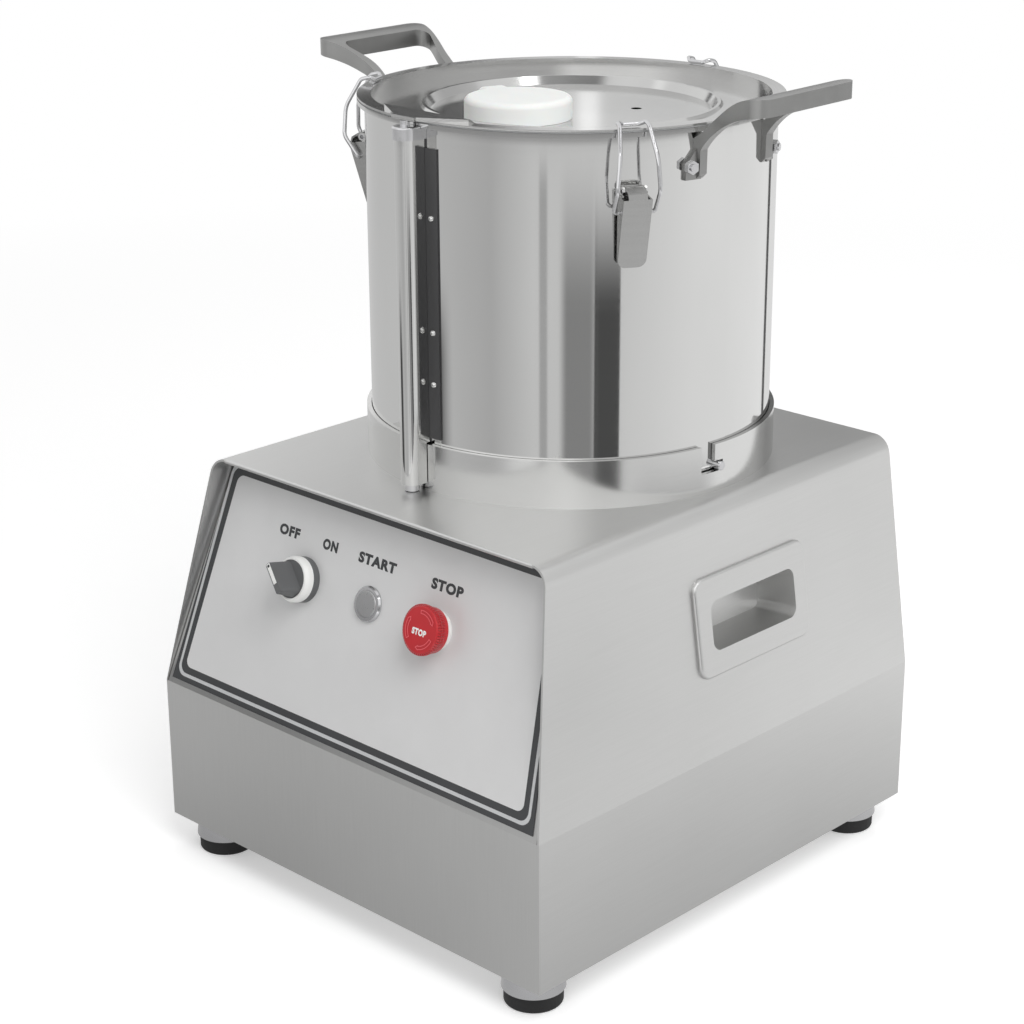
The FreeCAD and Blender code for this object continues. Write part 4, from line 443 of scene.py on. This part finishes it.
def thickened(shape):
    """Gives flat faces the thickness of a print."""
    grown = bmesh.ops.extrude_face_region(shape, geom=shape.faces[:])
    raised = [v for v in grown["geom"] if isinstance(v, bmesh.types.BMVert)]
    bmesh.ops.translate(shape, vec=(0, 0, PRINT_T), verts=raised)
    bmesh.ops.recalc_face_normals(shape, faces=shape.faces)
    return shape


def filled(shape):
    """Fills the outlines, leaving the inner ones open."""
    bmesh.ops.triangle_fill(shape, edges=shape.edges[:], use_beauty=True, normal=(0, 0, 1))
    return thickened(shape)


# The overlay's pale field: its lower and upper edge, its half width at one height, and how far
# its sides lean in per height. A black line and then a light line run round it
FIELD_LOW = 0.146
FIELD_HIGH = 0.2833
FIELD_HALF = 0.1682
FIELD_HALF_Z = 0.1313
FIELD_SIDE_LEAN = 0.114
BLACK_LINE_W = 5.0 * MM
LIGHT_LINE_W = 2.4 * MM
FIELD_CORNER_R = 6 * MM
LINE_INNER_R = 7 * MM
LINE_OUTER_R = 8 * MM
CONTROL_HOLE_R = 11.6 * MM


def field_outline(shape, outset, corner):
    """Adds the field's outline grown by an outset, in panel X and Y from its lower edge, with
    its corners rounded, as edges only."""
    low, high = (FIELD_HALF - FIELD_SIDE_LEAN * (z - FIELD_HALF_Z) + outset
                 for z in (FIELD_LOW, FIELD_HIGH))
    top = (FIELD_HIGH - FIELD_LOW) * PANEL_SLOPE + outset
    corners = [shape.verts.new((x, y, 0))
               for x, y in ((-low, -outset), (low, -outset), (high, top), (-high, top))]
    shape.faces.new(corners)
    bmesh.ops.bevel(shape, geom=corners, offset=corner, segments=8, profile=0.5,
                    affect="VERTICES", material=-1)
    bmesh.ops.delete(shape, geom=shape.faces[:], context="FACES_ONLY")


def make_overlay_print():
    face = panel_place(0, FIELD_LOW, OVERLAY_T)
    field = bmesh.new()
    field_outline(field, 0.0, FIELD_CORNER_R)
    for x in (SELECTOR_X, START_X, STOP_X):
        middle = Matrix.Translation((x, (CONTROL_Z - FIELD_LOW) * PANEL_SLOPE, 0))
        bmesh.ops.create_circle(field, segments=48, radius=CONTROL_HOLE_R, matrix=middle)
    finish_piece("panel_field", filled(field), field_ink, "housing", face)
    line = bmesh.new()
    field_outline(line, BLACK_LINE_W, LINE_INNER_R)
    field_outline(line, BLACK_LINE_W + LIGHT_LINE_W, LINE_OUTER_R)
    finish_piece("panel_light_line", filled(line), line_ink, "housing", face)


# Lettering: how bold and how widely spaced it is, and half its thickness before it is squeezed
# to that of a print
LETTER_WEIGHT = 0.055
LETTER_SPACING = 1.14
LETTER_HALF_T = 0.5

# The words over the controls: middle and width of each
LABELS = {"OFF": (-0.0887, 0.0206), "ON": (-0.0472, 0.0148), "START": (-0.0008, 0.0360),
          "STOP": (0.0652, 0.0288)}
LABEL_Z = 0.2585
LABEL_H = 7.5 * MM


def lettering(name, text, height, width, ink, body, place):
    """Printed word: outline text made a mesh, and squeezed to its real height and width."""
    curve = bpy.data.curves.new(name, "FONT")
    curve.body = text
    curve.align_x, curve.align_y = "CENTER", "CENTER"
    curve.offset = LETTER_WEIGHT
    curve.space_character = LETTER_SPACING
    curve.extrude = LETTER_HALF_T
    curve.resolution_u = 4
    words = bpy.data.objects.new(name, curve)
    bpy.context.scene.collection.objects.link(words)
    bpy.context.view_layer.update()
    flat = words.evaluated_get(bpy.context.evaluated_depsgraph_get())
    mesh = bpy.data.meshes.new_from_object(flat)
    bpy.data.objects.remove(words)
    shape = bmesh.new()
    shape.from_mesh(mesh)
    bpy.data.meshes.remove(mesh)
    bmesh.ops.remove_doubles(shape, verts=shape.verts, dist=MERGE_DISTANCE)
    xs = [v.co.x for v in shape.verts]
    ys = [v.co.y for v in shape.verts]
    foot = Vector(((min(xs) + max(xs)) / 2, (min(ys) + max(ys)) / 2, -LETTER_HALF_T))
    bmesh.ops.translate(shape, vec=-foot, verts=shape.verts)
    scale = (width / (max(xs) - min(xs)), height / (max(ys) - min(ys)), PRINT_T)
    bmesh.ops.scale(shape, vec=scale, verts=shape.verts)
    bmesh.ops.recalc_face_normals(shape, faces=shape.faces)
    finish_piece(name, shape, ink, body, place)


def make_labels():
    for word, (x, width) in LABELS.items():
        lettering("label_" + word.lower(), word, LABEL_H, width, letter_ink, "housing",
                  panel_place(x, LABEL_Z, OVERLAY_T + PRINT_T))


# The stop button's print lies on its face: three bent arrows, as outlines, round its word.
# Angles are in degrees, and the half width of an arrow's point is a share of its length
STOP_FACE_LIFT = 17.2 * MM
STOP_WORD_H = 4.4 * MM
STOP_WORD_W = 12.6 * MM
STOP_WORD_DROP = 1.6 * MM
ARROW_STARTS = (100, 220, 340)
ARROW_SWEEP = -62
ARROW_R = 11.6 * MM
ARROW_W = 2.6 * MM
ARROW_POINT = 2.6 * MM
ARROW_POINT_HALF = 0.7
ARROW_OUTLINE_W = 0.5 * MM
ARROW_STEPS = 14


def polar(radius, degrees):
    return radius * math.cos(math.radians(degrees)), radius * math.sin(math.radians(degrees))


def curved_arrow(shape, start):
    """An arrow bent round the origin, as one outline of its edge: two arcs and a point."""
    end = start + ARROW_SWEEP
    outer = [polar(ARROW_R + ARROW_W / 2, start + ARROW_SWEEP * k / ARROW_STEPS)
             for k in range(ARROW_STEPS + 1)]
    inner = [polar(ARROW_R - ARROW_W / 2, start + ARROW_SWEEP * k / ARROW_STEPS)
             for k in range(ARROW_STEPS, -1, -1)]
    reach = math.copysign(math.degrees(ARROW_POINT / ARROW_R), ARROW_SWEEP)
    point = [polar(ARROW_R + ARROW_POINT * ARROW_POINT_HALF, end), polar(ARROW_R, end + reach),
             polar(ARROW_R - ARROW_POINT * ARROW_POINT_HALF, end)]
    shape.faces.new([shape.verts.new((x, y, 0)) for x, y in outer + point + inner])


def make_stop_print():
    """Arrows that show which way the stop button turns to let go, and its word."""
    face = control_place(STOP_X, STOP_FACE_LIFT)
    arrows = bmesh.new()
    for start in ARROW_STARTS:
        curved_arrow(arrows, start)
    arrows.normal_update()
    bmesh.ops.inset_region(arrows, faces=arrows.faces[:], thickness=ARROW_OUTLINE_W,
                           use_even_offset=True, use_boundary=True)
    inner = [f for f in arrows.faces if len(f.verts) > 4]
    bmesh.ops.delete(arrows, geom=inner, context="FACES")
    finish_piece("stop_arrows", thickened(arrows), arrow_ink, "estop_mushroom", face)
    lettering("stop_word", "STOP", STOP_WORD_H, STOP_WORD_W, white_ink, "estop_mushroom",
              face @ Matrix.Translation((0, -STOP_WORD_DROP, 0)))


# The selector's index: a white strip let into the crest of its fin, which points 45 degrees to
# the left at OFF, with a dark dot at the pointing end
FIN_CREST_LIFT = 28.9 * MM
FIN_TURN = 45.0
INDEX_SIZE = (3.0 * MM, 15.5 * MM, 0.4 * MM)
INDEX_OUT = 3.4 * MM
INDEX_EDGE = 0.12 * MM
DOT_FOOT_R = 1.1 * MM
DOT_TOP_R = 1.0 * MM
DOT_H = 0.3 * MM
DOT_OUT = 9.4 * MM
DOT_LIFT = 0.2 * MM


def make_selector_index():
    crest = control_place(SELECTOR_X, FIN_CREST_LIFT)
    place = crest @ Matrix.Rotation(math.radians(FIN_TURN), 4, "Z")
    strip = bmesh.new()
    bmesh.ops.create_cube(strip, size=1.0)
    bmesh.ops.scale(strip, vec=INDEX_SIZE, verts=strip.verts)
    bmesh.ops.translate(strip, vec=(0, INDEX_OUT, 0), verts=strip.verts)
    bmesh.ops.bevel(strip, geom=strip.edges[:], offset=INDEX_EDGE, segments=2, profile=0.5,
                    affect="EDGES", material=-1)
    finish_piece("selector_index", strip, white_ink, "selector", place)
    dot = bmesh.new()
    bmesh.ops.create_cone(dot, cap_ends=True, segments=24, radius1=DOT_FOOT_R, radius2=DOT_TOP_R,
                          depth=DOT_H)
    bmesh.ops.translate(dot, vec=(0, DOT_OUT, DOT_LIFT), verts=dot.verts)
    finish_piece("selector_dot", dot, letter_ink, "selector", place)


# ---- Studio: a white world, pale paper, three lamps, and cloths that only polished metal sees

WORLD_LIGHT = 0.45
WORLD_SEEN = 1.0
FLOOR_HALF = 12.0
FLOOR_PAPER = (0.9, 0.9, 0.9, 1.0)
FLOOR_GLOW = 0.35
FLOOR_FADE = (0.9, 2.2)
WHITE = (1.0, 1.0, 1.0, 1.0)


def camera_or_mirror(tree):
    """1 for rays from the camera or from a mirror or glass, which see the white background."""
    path = add(tree, "ShaderNodeLightPath")
    first = add(tree, "ShaderNodeMath", {0: path.outputs["Is Camera Ray"],
                                         1: path.outputs["Is Glossy Ray"]}, operation="MAXIMUM")
    return add(tree, "ShaderNodeMath", {0: first.outputs[0],
                                        1: path.outputs["Is Transmission Ray"]},
               operation="MAXIMUM").outputs[0]


def set_world():
    world = bpy.data.worlds.new("studio")
    bpy.context.scene.world = world
    world.use_nodes = True
    tree = world.node_tree
    tree.nodes.clear()
    strength = add(tree, "ShaderNodeMapRange", {"Value": camera_or_mirror(tree),
                                                "To Min": WORLD_LIGHT, "To Max": WORLD_SEEN})
    sky = add(tree, "ShaderNodeBackground", {"Color": WHITE,
                                             "Strength": strength.outputs["Result"]})
    add(tree, "ShaderNodeOutputWorld", {"Surface": sky.outputs[0]})


def bare_material(name):
    """A material with an empty node tree."""
    material = bpy.data.materials.new(name)
    material.use_nodes = True
    material.node_tree.nodes.clear()
    return material, material.node_tree


def lay_floor():
    """Pale paper that keeps the shadow near the object and turns plain white further out."""
    material, tree = bare_material("pale_paper")
    seen = camera_or_mirror(tree)
    paper = add(tree, "ShaderNodeBsdfDiffuse", {"Color": FLOOR_PAPER})
    level = add(tree, "ShaderNodeMapRange", {"Value": seen, "To Min": 0.0, "To Max": FLOOR_GLOW})
    glow = add(tree, "ShaderNodeEmission", {"Color": WHITE, "Strength": level.outputs["Result"]})
    near = add(tree, "ShaderNodeAddShader", {0: paper.outputs[0], 1: glow.outputs[0]})
    away = add(tree, "ShaderNodeMapRange", {"Value": distance_out(tree), "From Min": FLOOR_FADE[0],
                                            "From Max": FLOOR_FADE[1]})
    faded = add(tree, "ShaderNodeMath", {0: away.outputs["Result"], 1: seen}, operation="MULTIPLY")
    white = add(tree, "ShaderNodeEmission", {"Color": WHITE, "Strength": 1.0})
    both = add(tree, "ShaderNodeMixShader", {0: faded.outputs[0], 1: near.outputs[0],
                                             2: white.outputs[0]})
    add(tree, "ShaderNodeOutputMaterial", {"Surface": both.outputs[0]})
    shape = bmesh.new()
    bmesh.ops.create_grid(shape, x_segments=1, y_segments=1, size=FLOOR_HALF)
    scene_object("floor", shape, material)


# Area lamps: place, width and height, watts, and whether polished metal sees them
LAMPS = {
    "key_lamp": ((1.4, -0.6, 1.9), (1.4, 1.4), 29, True),
    "left_lamp": ((-1.8, -1.3, 1.3), (1.2, 1.6), 2, True),
    "back_lamp": ((-0.4, 1.9, 2.2), (1.8, 1.0), 12, False),
}
LAMP_TARGET = (0, 0, 0.3)


def set_lamps():
    for name, (place, size, watts, in_metal) in LAMPS.items():
        data = bpy.data.lights.new(name, "AREA")
        data.shape = "RECTANGLE"
        data.size, data.size_y = size
        data.energy = watts
        lamp = bpy.data.objects.new(name, data)
        lamp.location = place
        aim = Vector(LAMP_TARGET) - Vector(place)
        lamp.rotation_euler = aim.to_track_quat("-Z", "Y").to_euler()
        lamp.visible_glossy = in_metal
        bpy.context.scene.collection.objects.link(lamp)


def hang_cloth(name, shape, colour, mask=None):
    """Grey studio cloth that only polished metal sees. It is clear where its mask is 0."""
    material, tree = bare_material(name + "_cloth")
    surface = add(tree, "ShaderNodeEmission", {"Color": colour(tree), "Strength": 1.0}).outputs[0]
    if mask is not None:
        clear = add(tree, "ShaderNodeBsdfTransparent")
        surface = add(tree, "ShaderNodeMixShader", {0: mask(tree), 1: clear.outputs[0],
                                                    2: surface}).outputs[0]
    add(tree, "ShaderNodeOutputMaterial", {"Surface": surface})
    cloth = scene_object(name, shape, material)
    cloth.visible_camera = False
    cloth.visible_diffuse = False
    cloth.visible_shadow = False


def bowed_sheet(radius, low, high, start=-180.0, end=180.0):
    """A sheet bowed round the bowl's axis, between two azimuths, in steps of about 2 degrees."""
    shape = bmesh.new()
    foot = shape.verts.new((*polar(radius, start), low))
    head = shape.verts.new((*polar(radius, start), high))
    edge = shape.edges.new((foot, head))
    bmesh.ops.spin(shape, geom=[foot, head, edge], cent=(0, 0, 0), axis=(0, 0, 1),
                   angle=math.radians(end - start), steps=max(2, int((end - start) / 2)))
    bmesh.ops.remove_doubles(shape, verts=shape.verts, dist=MERGE_DISTANCE)
    bmesh.ops.translate(shape, vec=(0, BOWL_Y, 0), verts=shape.verts)
    return shape


def azimuth(tree):
    """The direction of a point seen from the bowl's axis, in degrees from +X."""
    parts = add(tree, "ShaderNodeSeparateXYZ", {0: local(tree, (1, 1, 1), (0, BOWL_Y, 0))})
    angle = add(tree, "ShaderNodeMath", {0: parts.outputs["Y"], 1: parts.outputs["X"]},
                operation="ARCTAN2")
    return add(tree, "ShaderNodeMath", {0: angle.outputs[0]}, operation="DEGREES").outputs[0]


def turn_from(tree, middle):
    """How many degrees a point's azimuth is from a middle one, either way."""
    off = add(tree, "ShaderNodeMath", {0: azimuth(tree), 1: middle}, operation="SUBTRACT")
    return add(tree, "ShaderNodeMath", {0: off.outputs[0]}, operation="ABSOLUTE").outputs[0]


# The cloth all round the object: how bright it is towards each azimuth. The bowl and the seat
# ring see its lower part, pale on the right and greyer on the left. The top plate and the lid
# see its upper part, brightest in front
LOW_CLOTH = ((-180, 0.66), (-145, 0.70), (-108, 0.60), (-88, 0.54), (-66, 0.74), (-20, 0.78),
             (20, 0.95), (80, 1.00), (130, 0.62))
HIGH_CLOTH = ((-180, 1.05), (-125, 0.95), (-100, 1.40), (-48, 1.40), (-34, 0.75), (20, 0.85),
              (90, 0.60), (112, 0.80), (135, 0.80), (152, 1.05))
CLOTH_R = 0.80
CLOTH_FOOT = 0.0
CLOTH_SPLIT = 0.44
CLOTH_TOP = 1.1


def cloth_colour(tree, levels):
    turn = add(tree, "ShaderNodeMapRange", {"Value": azimuth(tree), "From Min": -180.0,
                                            "From Max": 180.0})
    ramp = add(tree, "ShaderNodeValToRGB", {"Fac": turn.outputs["Result"]})
    stops = ramp.color_ramp.elements
    stops.remove(stops[0])
    stops[0].position = 1.0
    for angle, level in levels:
        stops.new((angle + 180.0) / 360.0).color = (level, level, level, 1.0)
    stops[-1].color = stops[0].color
    return ramp.outputs["Color"]


# Dark and pale flags in front of the cloth: middle azimuth, half width and soft edge in degrees,
# then foot, top and the height over which the top fades, in metres, and brightness. The first
# five give the bowl its upright bands, the sixth the dark line under its rim. The rest are seen
# by the top plate, the ring and the lid
FLAGS = {
    "column_flag": (-128.0, 6.0, 12.0, 0.002, 0.30, 0.10, 0.06),
    "camera_flag": (-43.5, 5.5, 5.0, 0.002, 0.42, 0.16, 0.30),
    "front_flag": (-29.1, 6.2, 0.6, 0.002, 0.40, 0.14, 0.09),
    "streak_flag": (-61.0, 1.2, 1.5, 0.002, 0.42, 0.05, 0.48),
    "far_right_flag": (88.0, 1.5, 1.5, 0.002, 0.42, 0.05, 0.10),
    "rim_flag": (-47.0, 130.0, 10.0, 0.420, 0.44, 0.005, 0.34),
    "rear_flag": (103.0, 15.0, 26.0, 0.45, 0.66, 0.03, 0.12),
    "ring_glow": (-62.0, 10.0, 12.0, 0.002, 0.12, 0.04, 1.80),
    "ring_shade": (8.0, 14.0, 16.0, 0.002, 0.12, 0.04, 0.50),
    "lid_flag": (149.0, 8.0, 7.0, 0.64, 0.80, 0.03, 0.08),
    "lid_streak": (131.2, 0.3, 1.0, 0.63, 0.80, 0.03, 1.30),
    "sky_flag": (-45.0, 30.0, 15.0, 1.10, 1.90, 0.10, 0.30),
}
FLAG_R = 0.75


def stand_flag(name, middle, half, soft, foot, top, fade, level):
    """A flag that is clear beyond its soft sides, and fades out up to its top."""
    def mask(tree):
        side = add(tree, "ShaderNodeMapRange", {
            "Value": turn_from(tree, middle), "From Min": half + soft, "From Max": half},
            interpolation_type="SMOOTHSTEP")
        rise = add(tree, "ShaderNodeMapRange", {
            "Value": height_up(tree), "From Min": top, "From Max": top - fade},
            interpolation_type="SMOOTHSTEP")
        return add(tree, "ShaderNodeMath", {0: side.outputs["Result"], 1: rise.outputs["Result"]},
                   operation="MULTIPLY").outputs[0]

    reach = half + soft
    shape = bowed_sheet(FLAG_R, foot, top, middle - reach, middle + reach)
    hang_cloth(name, shape, lambda tree: (level, level, level, 1.0), mask)


# Grey cloth on the floor round the object, which the sheet metal's lower parts see: darker close
# in, between two distances, and on the left, by a factor between two turns from the right side
FLOOR_CLOTH_R = 0.78
FLOOR_CLOTH_LIFT = 0.001
FLOOR_CLOTH_REACH = (0.20, 0.75)
FLOOR_CLOTH_LEVELS = (0.52, 1.05)
FLOOR_CLOTH_SIDE = 20.0
FLOOR_CLOTH_TURN = (40.0, 140.0)
FLOOR_CLOTH_FACTOR = (1.15, 0.78)


def floor_cloth_colour(tree):
    level = add(tree, "ShaderNodeMapRange", {
        "Value": distance_out(tree),
        "From Min": FLOOR_CLOTH_REACH[0], "From Max": FLOOR_CLOTH_REACH[1],
        "To Min": FLOOR_CLOTH_LEVELS[0], "To Max": FLOOR_CLOTH_LEVELS[1]})
    factor = add(tree, "ShaderNodeMapRange", {
        "Value": turn_from(tree, FLOOR_CLOTH_SIDE),
        "From Min": FLOOR_CLOTH_TURN[0], "From Max": FLOOR_CLOTH_TURN[1],
        "To Min": FLOOR_CLOTH_FACTOR[0], "To Max": FLOOR_CLOTH_FACTOR[1]})
    grey = add(tree, "ShaderNodeMath", {0: level.outputs["Result"], 1: factor.outputs["Result"]},
               operation="MULTIPLY").outputs[0]
    return add(tree, "ShaderNodeCombineXYZ", {0: grey, 1: grey, 2: grey}).outputs[0]


def set_cloths():
    hang_cloth("low_cloth", bowed_sheet(CLOTH_R, CLOTH_FOOT, CLOTH_SPLIT),
               lambda tree: cloth_colour(tree, LOW_CLOTH))
    hang_cloth("high_cloth", bowed_sheet(CLOTH_R, CLOTH_SPLIT, CLOTH_TOP),
               lambda tree: cloth_colour(tree, HIGH_CLOTH))
    for name, sizes in FLAGS.items():
        stand_flag(name, *sizes)
    shape = bmesh.new()
    bmesh.ops.create_circle(shape, cap_ends=True, segments=64, radius=FLOOR_CLOTH_R)
    bmesh.ops.translate(shape, vec=(0, 0, FLOOR_CLOTH_LIFT), verts=shape.verts)
    hang_cloth("floor_cloth", shape, floor_cloth_colour)


bpy.context.scene.view_settings.view_transform = "Standard"
set_camera()
set_world()
lay_floor()
set_lamps()
set_cloths()
make_overlay_print()
make_labels()
make_stop_print()
make_selector_index()
